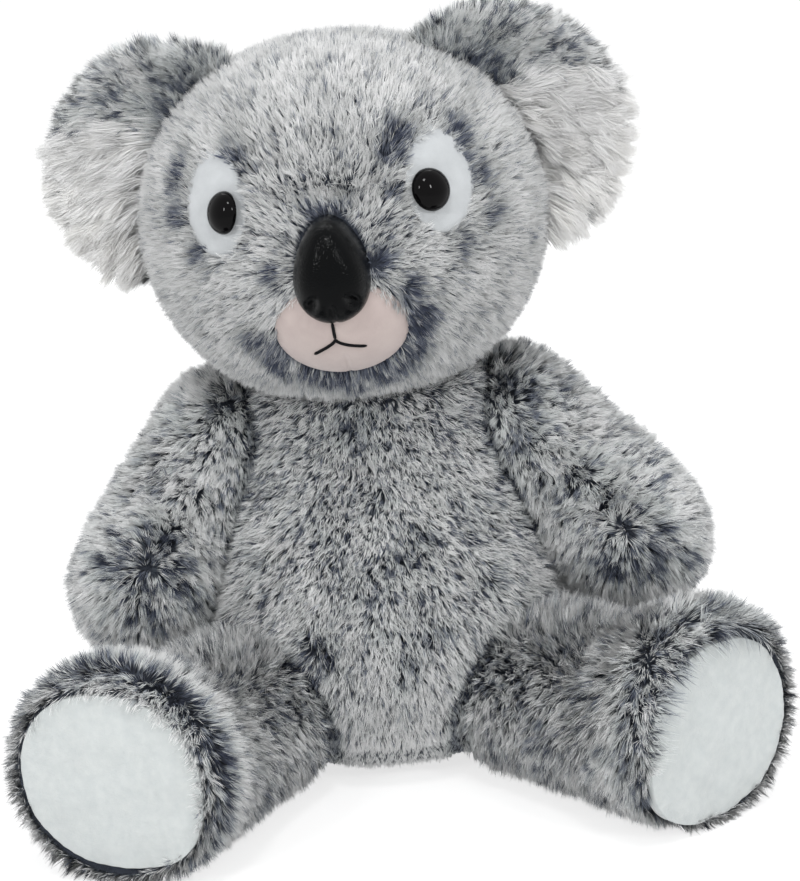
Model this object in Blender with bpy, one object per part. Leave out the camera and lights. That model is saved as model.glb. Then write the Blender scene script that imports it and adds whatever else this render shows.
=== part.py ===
"""A seated plush koala: sewn plush skins round loose fibre filling, with hard safety eyes and nose.

The toy sits on the ground plane and looks along -Y. Left and right are the koala's own: left is +X.
"""
import math

import bmesh
import bpy
import numpy as np
from mathutils import Matrix, Vector

# Cloth, gaps and mesh
SKIN = 0.0050  # plush backing with its pile pressed down
GAP = 0.0003  # between pieces that touch
FLOOR_CUT = 0.0005  # how far the soft forms are flattened by the ground
OVERRUN = 0.0300  # how far a cutter reaches past what it cuts
TIP = 0.0008  # the smallest ring at the end of a form
SWING_CLEAR = 0.0016  # between the body and a limb that swings past it
FINE_SIDES = 24
FINE_RINGS = 13
LIMB_SIDES = 20
LIMB_RINGS = 13
COARSE_SIDES = 16
COARSE_RINGS = 10
SMALL_SIDES = 16
SHARP_ANGLE = math.radians(40.0)
BALL_SIDES = 20
BALL_RINGS = 12
# A ball of flat facets comes this much nearer to its middle between its corners.
BALL_FACET_SHARE = math.cos(math.pi / BALL_SIDES) * math.cos(math.pi / (2 * BALL_RINGS))

# Body, a pear that swells from the shoulders to the seat
BODY_HEIGHT = 0.124
BODY_WIDTH = 0.116
BODY_DEPTH = 0.100
BODY_HEIGHT_SHARES = (0.0, 0.03, 0.10, 0.22, 0.36, 0.50, 0.65, 0.78, 0.88, 0.95, 1.0)
BODY_SWELL_SHARES = (0.52, 0.76, 0.91, 0.985, 1.0, 0.965, 0.88, 0.79, 0.70, 0.58, 0.30)
BODY_LEAN_SHARES = (0.02, 0.02, 0.01, -0.01, -0.02, -0.015, 0.0, 0.01, 0.0, -0.02, -0.03)

# Head, an egg lying crosswise, with a snout that swells under the nose
NECK_FORWARD = 0.006
NECK_RISE = 0.111
NECK_BORE_HALF = 0.0220
NECK_PLUG_CLEAR = 0.0018
HEAD_WIDTH = 0.117
HEAD_DEPTH = 0.103
HEAD_HEIGHT = 0.106
HEAD_FULL_SHARE = 0.90
HEAD_TURN = math.radians(-4.0)
HEAD_LEAN = math.radians(-3.0)  # towards its own right side
SNOUT_REACH = 0.0100
SNOUT_RISE = 0.0360
SNOUT_WIDTH = 0.0340
SNOUT_TALL = 0.0300

# Felt rounds and domed eyes
INLAY_DEEP = 0.0014  # how far felt and velour lie below the pile
FELT = 0.0013
PATCH_X = 0.0310
PATCH_RISE = 0.0680
PATCH_WIDTH = 0.0215
PATCH_TALL = 0.0290
PATCH_TILT = math.radians(12.0)
EYE_X = 0.0285
EYE_RISE = 0.0668
EYE_WIDTH = 0.0120
EYE_BULGE = 0.0052
EYE_RIM = 0.0010
STEM_WIDTH = 0.0036
STEM_LENGTH = 0.0105
WASHER_WIDTH = 0.0120
WASHER_THICK = 0.0014
EYE_DOME_ARC = [math.radians(degrees) for degrees in (12, 30, 50, 70, 90)]

# Hard nose, velour muzzle and stitched mouth
NOSE_WIDTH = 0.0205
NOSE_TALL = 0.0285
NOSE_BULGE = 0.0120
NOSE_RISE = 0.0507
NOSE_STEM_RISE = 0.0527
NOSE_SQUARE_SHARE = 2.3
NOSE_TAPER_SHARE = 0.20
NOSE_DEPTH_SHARES = (0.0, 0.35, 0.60, 0.78, 0.90, 0.97, 0.995)
NOSE_SIDES = 22
NOSE_SUNK = 0.0060
MUZZLE_WIDTH = 0.0370
MUZZLE_TALL = 0.0290
MUZZLE_RISE = 0.0325
THREAD = 0.0011
MOUTH_TOP_RISE = 0.0350
MOUTH_FORK_RISE = 0.0295
MOUTH_CORNER_RISE = 0.0255
MOUTH_WIDTH = 0.0150
MOUTH_DROOP_SHARE = 1.5
MOUTH_SIDES = 8
MOUTH_STEPS = 13

# Ears, cupped rounds sewn to the head along a straight root
EAR_RADIUS = 0.0320
EAR_CENTRE_OUT = 0.0060
EAR_ROOT_IN = 0.0030
EAR_ROOT_X = 0.0405
EAR_ROOT_Y = 0.0070
EAR_ROOT_RISE = 0.0710
EAR_SLANT = math.radians(22.0)
EAR_FACE_OUT = math.radians(8.0)
EAR_PANEL = 0.0046
EAR_RIM = 0.0010
EAR_CUP = 0.0085
EAR_SIDES = 28
EAR_RING_SHARES = (0.22, 0.48, 0.72, 0.90, 1.0)
EAR_BACK = math.radians(-20.0)
EAR_FRONT = math.radians(20.0)
EAR_STEPS = 5

# Arms hang from the shoulders and end in round paws
SHOULDER_X = 0.0425
SHOULDER_Y = -0.0040
SHOULDER_Z = 0.0980
ARM_FATNESS = 0.0225
ARM_LENGTH = 0.0690
ARM_REACH_SHARES = (0.0, 0.15, 0.30, 0.46, 0.62, 0.78, 0.90, 0.97, 1.0)
ARM_RADIUS_SHARES = (0.95, 0.96, 0.98, 1.0, 1.0, 0.93, 0.72, 0.42, 0.10)
ARM_FORWARD = math.radians(13.5)
ARM_OUT = {"left": math.radians(44.0), "right": math.radians(35.0)}
ARM_SWING = math.radians(60.0)
ARM_OPEN = 0.0110
ARM_STEPS = 3

# Legs lie on the ground and end in flat soles
HIP_X = 0.0320
HIP_Y = -0.0230
LEG_FATNESS = 0.0320
LEG_LENGTH = 0.0840
LEG_REACH_SHARES = (0.0, 0.20, 0.40, 0.58, 0.74, 0.88, 0.96, 1.0)
LEG_RADIUS_SHARES = (0.778, 0.77, 0.775, 0.82, 0.92, 1.0, 0.985, 0.94)
LEG_YAW = {"left": math.radians(44.0), "right": math.radians(33.0)}
LEG_SPREAD = math.radians(5.0)
LEG_CLOSE = math.radians(-8.0)
LEG_OPEN = 0.0150
LEG_STEPS = 3
SOLE_TURN = {"left": math.radians(3.0), "right": math.radians(-12.0)}
SOLE_TURN_START_SHARE = 0.45
SOLE_TURN_END_SHARE = 0.90
SOLE_WIDTH = 0.0540
SOLE_TALL = 0.0510
SOLE_VELOUR = 0.0024
SOLE_DEEP = 0.0012
SOLE_CROWN = 0.0015
SOLE_CROWN_SHARES = ((0.0, 1.0), (0.6, 0.78), (1.0, 0.36))
SOLE_BACK_SHARE = 0.98

SIDES = {"left": 1, "right": -1}
COLOURS = {
    "grey_plush": ((0.47, 0.49, 0.50), 0.95),
    "white_plush": ((0.78, 0.77, 0.74), 0.95),
    "felt": ((0.72, 0.75, 0.80), 0.95),
    "velour": ((0.62, 0.51, 0.46), 0.90),
    "sole_velour": ((0.70, 0.74, 0.76), 0.90),
    "hard_black": ((0.012, 0.012, 0.014), 0.22),
    "thread": ((0.02, 0.02, 0.022), 0.70),
    "washer": ((0.75, 0.75, 0.72), 0.45),
    "fibre": ((0.86, 0.86, 0.85), 1.0),
}


def clear_scene():
    for item in list(bpy.data.objects):
        bpy.data.objects.remove(item, do_unlink=True)


def material(name):
    found = bpy.data.materials.get(name)
    if found:
        return found
    colour, roughness = COLOURS[name]
    made = bpy.data.materials.new(name)
    made.use_nodes = True
    shader = made.node_tree.nodes["Principled BSDF"]
    shader.inputs["Base Color"].default_value = (*colour, 1.0)
    shader.inputs["Roughness"].default_value = roughness
    shader.inputs["Metallic"].default_value = 0.0
    return made


def pivot(name, place, turn=None, parent=None):
    """An empty on a joint's axis, which carries the pieces that move with it."""
    empty = bpy.data.objects.new(name, None)
    bpy.context.scene.collection.objects.link(empty)
    empty.parent = parent
    empty.matrix_local = Matrix.Translation(place) @ (turn or Matrix())
    return empty


def add_object(name, mesh, finish=None, parent=None):
    made = bpy.data.objects.new(name, mesh)
    bpy.context.scene.collection.objects.link(made)
    made.parent = parent
    if finish:
        mesh.materials.append(material(finish))
        mesh.shade_smooth()
        mesh.set_sharp_from_angle(angle=SHARP_ANGLE)
    else:
        made.hide_render = True
        made.display_type = "WIRE"
    return made


def mesh_of_rings(name, rings, looped=False):
    """A closed mesh through rings of points: a fan closes each end, or the last ring meets the first."""
    shape = bmesh.new()
    loops = [[shape.verts.new(point) for point in ring] for ring in rings]
    for low, high in zip(loops, loops[1:] + loops[:1] if looped else loops[1:]):
        for i in range(len(low)):
            j = (i + 1) % len(low)
            shape.faces.new((low[i], low[j], high[j]))
            shape.faces.new((low[i], high[j], high[i]))
    ends = () if looped else ((loops[0], rings[0], -1), (loops[-1], rings[-1], 1))
    for loop, ring, order in ends:
        middle = shape.verts.new(sum((Vector(p) for p in ring), Vector()) / len(ring))
        for i in range(len(loop)):
            j = (i + 1) % len(loop)
            shape.faces.new((loop[i], loop[j], middle)[::order])
    bmesh.ops.recalc_face_normals(shape, faces=shape.faces)
    mesh = bpy.data.meshes.new(name)
    shape.to_mesh(mesh)
    shape.free()
    return mesh


def smooth(places, values, at):
    """A smooth curve through a table's values, read at one place."""
    at = min(max(at, places[0]), places[-1])
    slopes = np.gradient(values, places)
    i = max(0, min(len(places) - 2, int(np.searchsorted(places, at)) - 1))
    step = places[i + 1] - places[i]
    t = (at - places[i]) / step
    start = (2 * t**3 - 3 * t**2 + 1) * values[i] + (t**3 - 2 * t**2 + t) * step * slopes[i]
    end = (3 * t**2 - 2 * t**3) * values[i + 1] + (t**3 - t**2) * step * slopes[i + 1]
    return float(start + end)


def eased(count):
    """Places from 0 to 1 that lie closer together towards both ends."""
    return [0.5 - 0.5 * math.cos(math.pi * i / (count - 1)) for i in range(count)]


def oval(middle, across, up, half_width, half_tall, sides):
    turns = (2 * math.pi * i / sides for i in range(sides))
    return [middle + across * (half_width * math.cos(a)) + up * (half_tall * math.sin(a)) for a in turns]


def cut(target, cutter, how="DIFFERENCE"):
    step = target.modifiers.new(cutter.name, "BOOLEAN")
    step.operation = how
    step.solver = "EXACT"
    step.object = cutter


def ball_cutter(name, clear, place):
    """A ball whose facets all lie at least the clear distance from its middle."""
    radius = clear / BALL_FACET_SHARE
    shape = bmesh.new()
    bmesh.ops.create_uvsphere(shape, u_segments=BALL_SIDES, v_segments=BALL_RINGS, radius=radius)
    mesh = bpy.data.meshes.new(name)
    shape.to_mesh(mesh)
    shape.free()
    made = add_object(name, mesh)
    made.location = place
    return made


def oval_rod(name, width, tall, near, far, frame, parent):
    """An oval rod along a frame's own Y, from the near depth to the far one."""
    across, up = Vector((1, 0, 0)), Vector((0, 0, 1))
    sides = FINE_SIDES if width > WASHER_WIDTH + 2 * GAP else SMALL_SIDES
    rings = [oval(Vector((0, y, 0)), across, up, width / 2, tall / 2, sides) for y in (near, far)]
    made = add_object(name, mesh_of_rings(name, rings), parent=parent)
    made.matrix_local = frame
    return made


def round_rod(name, profile, frame, parent):
    """A round stepped rod along a frame's own Y, from pairs of depth and radius."""
    made = add_object(name, mesh_of_rings(name, turned_rings(profile, SMALL_SIDES)), parent=parent)
    made.matrix_local = frame
    return made


def floor_cutter():
    """A block under the ground plane, which flattens what stands on it."""
    half = BODY_WIDTH + LEG_LENGTH
    corners = [Vector((x, y, 0)) * half for x, y in ((-1, -1), (1, -1), (1, 1), (-1, 1))]
    down = Vector((0, 0, -OVERRUN))
    mesh = mesh_of_rings("floor_cutter", [corners, [corner + down for corner in corners]])
    return add_object("floor_cutter", mesh)


def steps_between(low, high, count):
    return [low + (high - low) * i / (count - 1) for i in range(count)]


def about(place, axis, angle):
    """The turn by an angle about an axis through a place."""
    return Matrix.Translation(place) @ Matrix.Rotation(angle, 4, axis) @ Matrix.Translation(-place)


def copy_at(source, name, matrix, parent=None):
    """Another cutter with the same mesh and cuts, in another place."""
    made = source.copy()
    made.name = name
    bpy.context.scene.collection.objects.link(made)
    made.parent = parent
    made.matrix_local = matrix
    return made


def body_rings(inset, sides, rings):
    """The pear's level rings, each drawn in by the inset."""
    low, high = inset - FLOOR_CUT, BODY_HEIGHT - inset
    made = []
    for share in eased(rings):
        height = low + (high - low) * share
        swell = smooth(BODY_HEIGHT_SHARES, BODY_SWELL_SHARES, height / BODY_HEIGHT)
        lean = smooth(BODY_HEIGHT_SHARES, BODY_LEAN_SHARES, height / BODY_HEIGHT) * BODY_DEPTH
        half_width = max(BODY_WIDTH / 2 * swell - inset, TIP)
        half_depth = max(BODY_DEPTH / 2 * swell - inset, TIP)
        middle = Vector((0, lean, height))
        made.append(oval(middle, Vector((1, 0, 0)), Vector((0, 1, 0)), half_width, half_depth, sides))
    return made


def snout_swell(x, rise):
    """How far the snout stands forward of the round head."""
    sideways = 2 * x / SNOUT_WIDTH
    upwards = 2 * (rise - SNOUT_RISE) / SNOUT_TALL
    return SNOUT_REACH * math.exp(-(sideways**2 + upwards**2) / 2)


def head_point(angle, turn, inset):
    """A point of the head in the neck's frame: angle runs from chin to crown, turn goes round the neck."""
    full = math.sin(angle) ** HEAD_FULL_SHARE
    x = (HEAD_WIDTH / 2 - inset) * full * math.cos(turn)
    y = (HEAD_DEPTH / 2 - inset) * full * math.sin(turn)
    rise = HEAD_HEIGHT / 2 - (HEAD_HEIGHT / 2 - inset) * math.cos(angle)
    forward = max(-math.sin(turn), 0)
    return Vector((x, y - snout_swell(x, rise) * math.sqrt(forward), rise))


def head_rings(inset, sides, rings):
    """The head's level rings from chin to crown."""
    turns = [2 * math.pi * i / sides for i in range(sides)]
    first = math.pi / (2 * rings)
    angles = steps_between(first, math.pi - first, rings)
    return [[head_point(angle, turn, inset) for turn in turns] for angle in angles]


def head_cutter(name, inset, neck):
    return add_object(name, mesh_of_rings(name, head_rings(inset, FINE_SIDES, FINE_RINGS)), parent=neck)


def face_point(x, rise, inset):
    """The point in front of the head at a width and a rise."""
    angle = math.acos((HEAD_HEIGHT / 2 - rise) / (HEAD_HEIGHT / 2 - inset))
    half_width = (HEAD_WIDTH / 2 - inset) * math.sin(angle) ** HEAD_FULL_SHARE
    return head_point(angle, -math.acos(x / half_width), inset)


def face_frame(x, rise, inset, tilt=0.0):
    """A frame on the face whose -Y points straight out of the surface and whose Z points up."""
    middle = face_point(x, rise, inset)
    across = face_point(x + TIP, rise, inset) - face_point(x - TIP, rise, inset)
    up = face_point(x, rise + TIP, inset) - face_point(x, rise - TIP, inset)
    inwards = up.cross(across).normalized()
    across.normalize()
    up = across.cross(inwards)
    turn = Matrix((across, inwards, up)).transposed().to_4x4()
    return Matrix.Translation(middle) @ turn @ Matrix.Rotation(tilt, 4, "Y")


def head(neck):
    """The head's plush skin, open at the neck, and the filling that reaches down through the opening."""
    skin_mesh = mesh_of_rings("head_skin", head_rings(0, FINE_SIDES, FINE_RINGS))
    skin = add_object("head_skin", skin_mesh, "grey_plush", neck)
    angles = packed_angles()
    hollow_mesh = mesh_of_rings("head_hollow", packed_rings([angles[0] / 2] + angles, SKIN))
    hollow = add_object("head_hollow", hollow_mesh, parent=neck)
    cut(skin, hollow)
    across, back = Vector((1, 0, 0)), Vector((0, 1, 0))
    deep = NECK_BORE_HALF * HEAD_DEPTH / HEAD_WIDTH
    bore_rings = [
        oval(Vector((0, 0, height)), across, back, NECK_BORE_HALF, deep, COARSE_SIDES)
        for height in (-OVERRUN, SNOUT_TALL / 2)
    ]
    cut(skin, add_object("neck_bore", mesh_of_rings("neck_bore", bore_rings), parent=neck))
    lip = neck_angle(0)
    plug_rings = packed_rings([lip / 2, lip], 0)
    filling_rings = plug_rings + packed_rings(angles, SKIN + GAP)
    filling = add_object("head_filling", mesh_of_rings("head_filling", filling_rings), "fibre", neck)
    return skin, filling, hollow


def neck_angle(inset):
    """The angle at which a form inset from the head is as wide as the filling in the neck's opening."""
    plug = NECK_BORE_HALF - NECK_PLUG_CLEAR
    return math.asin((plug / (HEAD_WIDTH / 2 - inset)) ** (1 / HEAD_FULL_SHARE))


def packed_angles():
    """The angles of the rings inside the head, shared by the skin's hollow and the filling."""
    last = math.pi - math.pi / (2 * COARSE_RINGS)
    return steps_between(neck_angle(SKIN + GAP), last, COARSE_RINGS)


def packed_rings(angles, inset):
    turns = [2 * math.pi * i / COARSE_SIDES for i in range(COARSE_SIDES)]
    return [[head_point(angle, turn, inset) for turn in turns] for angle in angles]


def neck_bowl():
    """The round hollow in which the head turns: the head's widest reach at each height, all the way round."""
    rings = []
    lean = Matrix.Rotation(HEAD_LEAN, 4, "Y")
    for level in head_rings(-GAP, FINE_SIDES, FINE_RINGS):
        ring = [lean @ point for point in level]
        widest = max(math.hypot(point.x, point.y) for point in ring if point.y >= 0)
        reach = widest / math.cos(math.pi / FINE_SIDES)
        middle = Vector((0, -NECK_FORWARD, NECK_RISE + min(point.z for point in ring)))
        rings.append(oval(middle, Vector((1, 0, 0)), Vector((0, 1, 0)), reach, reach, FINE_SIDES))
    return add_object("neck_bowl", mesh_of_rings("neck_bowl", rings[: FINE_RINGS // 2]))


def turned_rings(profile, sides):
    """Rings round a frame's Y from pairs of depth and radius."""
    across, up = Vector((1, 0, 0)), Vector((0, 0, 1))
    return [oval(Vector((0, depth, 0)), across, up, radius, radius, sides) for depth, radius in profile]


def washer(name, frame, neck):
    """A pressed-on ring that grips the stem behind the skin."""
    far = SKIN + WASHER_THICK
    outside, bore = WASHER_WIDTH / 2, STEM_WIDTH / 2 + GAP
    profile = [(SKIN, bore), (SKIN, outside), (far, outside), (far, bore)]
    mesh = mesh_of_rings(name, turned_rings(profile, SMALL_SIDES), looped=True)
    made = add_object(name, mesh, "washer", neck)
    made.matrix_local = frame


def stem_ways(name, frame, neck, skin, filling):
    """The stem's hole and the washer's seat in the skin, and the pocket both press into the filling."""
    bore, wide = STEM_WIDTH / 2 + GAP, WASHER_WIDTH / 2 + GAP
    seat, pocket_end = SKIN - GAP, SKIN + WASHER_THICK + GAP
    stem_end = INLAY_DEEP + STEM_LENGTH + GAP
    hole = [(-OVERRUN, bore), (seat, bore), (seat, wide), (OVERRUN, wide)]
    cut(skin, round_rod(name + "_stem_hole", hole, frame, neck))
    pocket = [(-OVERRUN, wide), (pocket_end, wide), (pocket_end, bore), (stem_end, bore)]
    cut(filling, round_rod(name + "_pocket", pocket, frame, neck))


def eye(side, neck, skin, filling, inlay_top, inlay_back, inlay_floor):
    """A white felt round let into the fur, with a domed safety eye whose stem goes through to a washer."""
    sign = SIDES[side]
    frame = face_frame(sign * EYE_X, EYE_RISE, 0)
    felt_frame = face_frame(sign * PATCH_X, PATCH_RISE, 0, sign * PATCH_TILT)
    deep = PATCH_WIDTH / 2
    patch = oval_rod(side + "_eye_patch", PATCH_WIDTH, PATCH_TALL, -EYE_BULGE, deep, felt_frame, neck)
    finish_piece(patch, "felt")
    cut(patch, inlay_top, "INTERSECT")
    cut(patch, inlay_back)
    bore = STEM_WIDTH + 2 * GAP
    cut(patch, oval_rod(side + "_patch_hole", bore, bore, -OVERRUN, OVERRUN, frame, neck))
    wide, tall = PATCH_WIDTH + 2 * GAP, PATCH_TALL + 2 * GAP
    bed = oval_rod(side + "_patch_bed", wide, tall, -EYE_BULGE, deep, felt_frame, neck)
    cut(bed, inlay_floor)
    cut(skin, bed)
    stem_ways(side + "_eye", frame, neck, skin, filling)
    back = INLAY_DEEP - GAP
    radius = EYE_WIDTH / 2
    dome = [(back - EYE_RIM - EYE_BULGE * math.cos(a), radius * math.sin(a)) for a in EYE_DOME_ARC]
    stem = [(back, radius), (back, STEM_WIDTH / 2), (back + STEM_LENGTH, STEM_WIDTH / 2)]
    mesh = mesh_of_rings(side + "_eye", turned_rings(dome + stem, SMALL_SIDES))
    made = add_object(side + "_eye", mesh, "hard_black", neck)
    made.matrix_local = frame
    washer(side + "_eye_washer", frame, neck)


def finish_piece(item, finish):
    """Turns a cutter's form into a piece of the toy."""
    item.hide_render = False
    item.display_type = "TEXTURED"
    item.data.materials.append(material(finish))
    item.data.shade_smooth()
    item.data.set_sharp_from_angle(angle=SHARP_ANGLE)


def nose_ring(depth, scale):
    """One ring of the egg-shaped nose, wider below than above."""
    made = []
    for i in range(NOSE_SIDES):
        a = 2 * math.pi * i / NOSE_SIDES
        x = NOSE_WIDTH / 2 * scale * math.cos(a) * (1 - NOSE_TAPER_SHARE * math.sin(a))
        made.append(Vector((x, depth, NOSE_TALL / 2 * scale * math.sin(a))))
    return made


def nose(neck, skin, filling, head_clear):
    """The hard nose, hollowed behind to sit on the snout, with its stem and washer."""
    front = face_point(0, NOSE_RISE, 0)
    rings = [nose_ring(NOSE_SUNK, 1)]
    for share in NOSE_DEPTH_SHARES:
        scale = (1 - share**NOSE_SQUARE_SHARE) ** (1 / NOSE_SQUARE_SHARE)
        rings.append(nose_ring(-NOSE_BULGE * share, scale))
    made = add_object("nose", mesh_of_rings("nose", rings), "hard_black", neck)
    made.location = front
    cut(made, head_clear)
    frame = Matrix.Translation(face_point(0, NOSE_STEM_RISE, 0))
    stem_end = INLAY_DEEP + STEM_LENGTH
    stem = oval_rod("nose_stem", STEM_WIDTH, STEM_WIDTH, -NOSE_BULGE / 2, stem_end, frame, neck)
    cut(made, stem, "UNION")
    stem_ways("nose", frame, neck, skin, filling)
    washer("nose_washer", frame, neck)


def muzzle(neck, skin, hollow, inlay_top):
    """The short velour panel sewn into a window of the plush under the nose."""
    frame = Matrix.Translation(face_point(0, MUZZLE_RISE, 0))
    near, far = -SNOUT_REACH, SNOUT_TALL
    patch = oval_rod("muzzle_patch", MUZZLE_WIDTH, MUZZLE_TALL, near, far, frame, neck)
    finish_piece(patch, "velour")
    cut(patch, inlay_top, "INTERSECT")
    cut(patch, hollow)
    wide, tall = MUZZLE_WIDTH + 2 * GAP, MUZZLE_TALL + 2 * GAP
    cut(skin, oval_rod("muzzle_window", wide, tall, near, far, frame, neck))


def thread_mesh(name, path):
    """A round thread along a path over the velour."""
    rings = []
    for i, point in enumerate(path):
        along = (path[min(i + 1, len(path) - 1)] - path[max(i - 1, 0)]).normalized()
        outwards = Vector((0, -1, 0))
        across = along.cross(outwards).normalized()
        rings.append(oval(point, across, along.cross(across), THREAD / 2, THREAD / 2, MOUTH_SIDES))
    return mesh_of_rings(name, rings)


def mouth(neck, velour_clear):
    """Black stitches: a short upright under the nose that forks into two drooping corners."""
    stand = THREAD / 2 - GAP  # the velour gives way under the stitches

    def on_velour(x, rise):
        frame = face_frame(x, rise, INLAY_DEEP)
        return frame.translation - frame.col[1].xyz * stand

    fork = []
    for share in steps_between(-1, 1, MOUTH_STEPS):
        drop = (MOUTH_FORK_RISE - MOUTH_CORNER_RISE) * abs(share) ** MOUTH_DROOP_SHARE
        fork.append(on_velour(share * MOUTH_WIDTH / 2, MOUTH_FORK_RISE - drop))
    upright = [on_velour(0, rise) for rise in steps_between(MOUTH_FORK_RISE, MOUTH_TOP_RISE, 4)]
    made = add_object("mouth_stitching", thread_mesh("mouth_stitching", fork), "thread", neck)
    cut(made, add_object("mouth_upright", thread_mesh("mouth_upright", upright), parent=neck), "UNION")
    cut(made, velour_clear)


def ear_panel(name, finish, sign, towards, root, cutters):
    """One cupped panel of an ear: towards is -1 for the front panel and 1 for the back one."""

    def edge(turn):
        """The outline's reach from the ear's middle, cut straight along the root."""
        inwards = -math.cos(turn)
        root_reach = EAR_CENTRE_OUT + EAR_ROOT_IN
        return min(EAR_RADIUS, root_reach / inwards) if inwards > 0 else EAR_RADIUS

    def ring(share, thick):
        made = []
        for i in range(EAR_SIDES):
            turn = 2 * math.pi * i / EAR_SIDES
            reach = edge(turn) * share
            cup = -EAR_CUP * (reach / EAR_RADIUS) ** 2
            x = EAR_CENTRE_OUT + reach * math.cos(turn)
            y = cup + towards * (GAP / 2 + thick)
            made.append(Vector((sign * x, y, reach * math.sin(turn))))
        return made

    def thickness(share):
        return EAR_RIM + (EAR_PANEL - EAR_RIM) * math.sqrt(1 - share**3)

    outside = [ring(share, thickness(share)) for share in EAR_RING_SHARES]
    inside = [ring(share, 0) for share in reversed(EAR_RING_SHARES)]
    made = add_object(name, mesh_of_rings(name, outside + inside), finish, root)
    for cutter in cutters:
        cut(made, cutter)


def ear(side, neck, head_clear):
    """A cupped ear of two panels, grey plush behind and long white pile in front."""
    sign = SIDES[side]
    place = Vector((sign * EAR_ROOT_X, EAR_ROOT_Y, EAR_ROOT_RISE))
    slant = Matrix.Rotation(-sign * EAR_SLANT, 4, "Y")
    root = pivot(side + "_ear_root", place, slant @ Matrix.Rotation(sign * EAR_FACE_OUT, 4, "Z"), neck)
    axis = slant.col[2].xyz
    cutters = [
        copy_at(head_clear, f"{side}_head_at_ear_{i}", about(place, axis, sign * -angle), neck)
        for i, angle in enumerate(steps_between(EAR_BACK, EAR_FRONT, EAR_STEPS))
    ]
    ear_panel(side + "_ear_back", "grey_plush", sign, 1, root, cutters)
    ear_panel(side + "_ear_front", "white_plush", sign, -1, root, cutters)


def body_trim(name, body_clear, place, axis, angles, ball):
    """What the body fills while a limb swings, less the ball in which the limb's root turns."""
    trim = copy_at(body_clear, name, about(place, axis, angles[0]))
    for i, angle in enumerate(angles[1:], 1):
        lift = Matrix.Translation(Vector((0, 0, i * GAP)))  # so that no two copies share a level edge
        cut(trim, copy_at(body_clear, f"{name}_{i}", lift @ about(place, axis, angle)), "UNION")
    cut(trim, ball_cutter(name + "_kept", ball + GAP / 3, place))
    return trim


def body(sockets, floor):
    """The body's skin and filling, hollowed on top for the head and at the sides for the limbs."""
    skin_mesh = mesh_of_rings("body_skin", body_rings(0, FINE_SIDES, FINE_RINGS))
    skin = add_object("body_skin", skin_mesh, "grey_plush")
    hollow_mesh = mesh_of_rings("body_hollow", body_rings(SKIN, COARSE_SIDES, COARSE_RINGS))
    hollow = add_object("body_hollow", hollow_mesh)
    cut(skin, hollow)
    filling_mesh = mesh_of_rings("body_filling", body_rings(SKIN + GAP, COARSE_SIDES, COARSE_RINGS))
    filling = add_object("body_filling", filling_mesh, "fibre")
    for cutter in [neck_bowl()] + sockets:
        cut(skin, cutter)
        cut(filling, cutter)
    cut(skin, floor)


def limb_radius(along, ball, length, reach_shares, radius_shares, fatness):
    """A limb's radius: a ball round the joint, then the table's swell to the paw or sole."""
    if along < 0:
        return math.sqrt(max(ball**2 - along**2, 0))
    return fatness * smooth(reach_shares, radius_shares, along / length)


def limb_mesh(name, radius_at, place_at, places, sides):
    """A limb's closed form from a ring at each place along it."""
    made = []
    for along in places:
        middle, across, up = place_at(along)
        radius = max(radius_at(along), TIP)
        made.append(oval(middle, across, up, radius, radius, sides))
    return mesh_of_rings(name, made)


def limb_pieces(name, outer, place_at, ball, length, inside_end, opening, carrier, trim):
    """A limb's plush skin, open at its root, and the filling that shows through that opening."""
    inside_start = -math.sqrt(ball**2 - (opening + SKIN) ** 2)
    plug = opening - GAP
    plug_start = -math.sqrt(ball**2 - plug**2)

    def hollow(along):
        return opening if along < inside_start else outer(along) - SKIN

    def packed(along):
        return min(outer(along), plug if along < inside_start else outer(along) - SKIN - GAP)

    outside = [-ball + (length + ball) * share for share in eased(LIMB_RINGS)]
    inside = [inside_start + (inside_end - inside_start) * share for share in eased(COARSE_RINGS)]
    skin_mesh = limb_mesh(name + "_skin", outer, place_at, outside, LIMB_SIDES)
    skin = add_object(name + "_skin", skin_mesh, "grey_plush", carrier)
    hollow_mesh = limb_mesh(name + "_hollow", hollow, place_at, [-ball - SKIN] + inside, SMALL_SIDES)
    cut(skin, add_object(name + "_hollow", hollow_mesh, parent=carrier))
    packed_places = [-ball, plug_start, inside_start - GAP] + inside[:-1] + [inside_end - GAP]
    packed_mesh = limb_mesh(name + "_filling", packed, place_at, packed_places, SMALL_SIDES)
    filling = add_object(name + "_filling", packed_mesh, "fibre", carrier)
    cut(skin, trim)
    cut(filling, trim)
    return skin, filling


def arm(side, body_clear):
    """An arm that hangs from its shoulder and swings out sideways."""
    sign = SIDES[side]
    place = Vector((sign * SHOULDER_X, SHOULDER_Y, SHOULDER_Z))
    ball = ARM_FATNESS * ARM_RADIUS_SHARES[0]
    hang = Matrix.Rotation(-sign * ARM_OUT[side], 4, "Y") @ Matrix.Rotation(-ARM_FORWARD, 4, "X")
    shoulder = pivot(side + "_shoulder", place, hang)
    angles = [sign * angle for angle in steps_between(0, ARM_SWING, ARM_STEPS)]
    trim = body_trim(side + "_arm_trim", body_clear, place, "Y", angles, ball)

    def outer(along):
        return limb_radius(along, ball, ARM_LENGTH, ARM_REACH_SHARES, ARM_RADIUS_SHARES, ARM_FATNESS)

    def place_at(along):
        return Vector((0, 0, -along)), Vector((1, 0, 0)), Vector((0, 1, 0))

    limb_pieces(side + "_arm", outer, place_at, ball, ARM_LENGTH, ARM_LENGTH - SKIN, ARM_OPEN, shoulder, trim)


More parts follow.
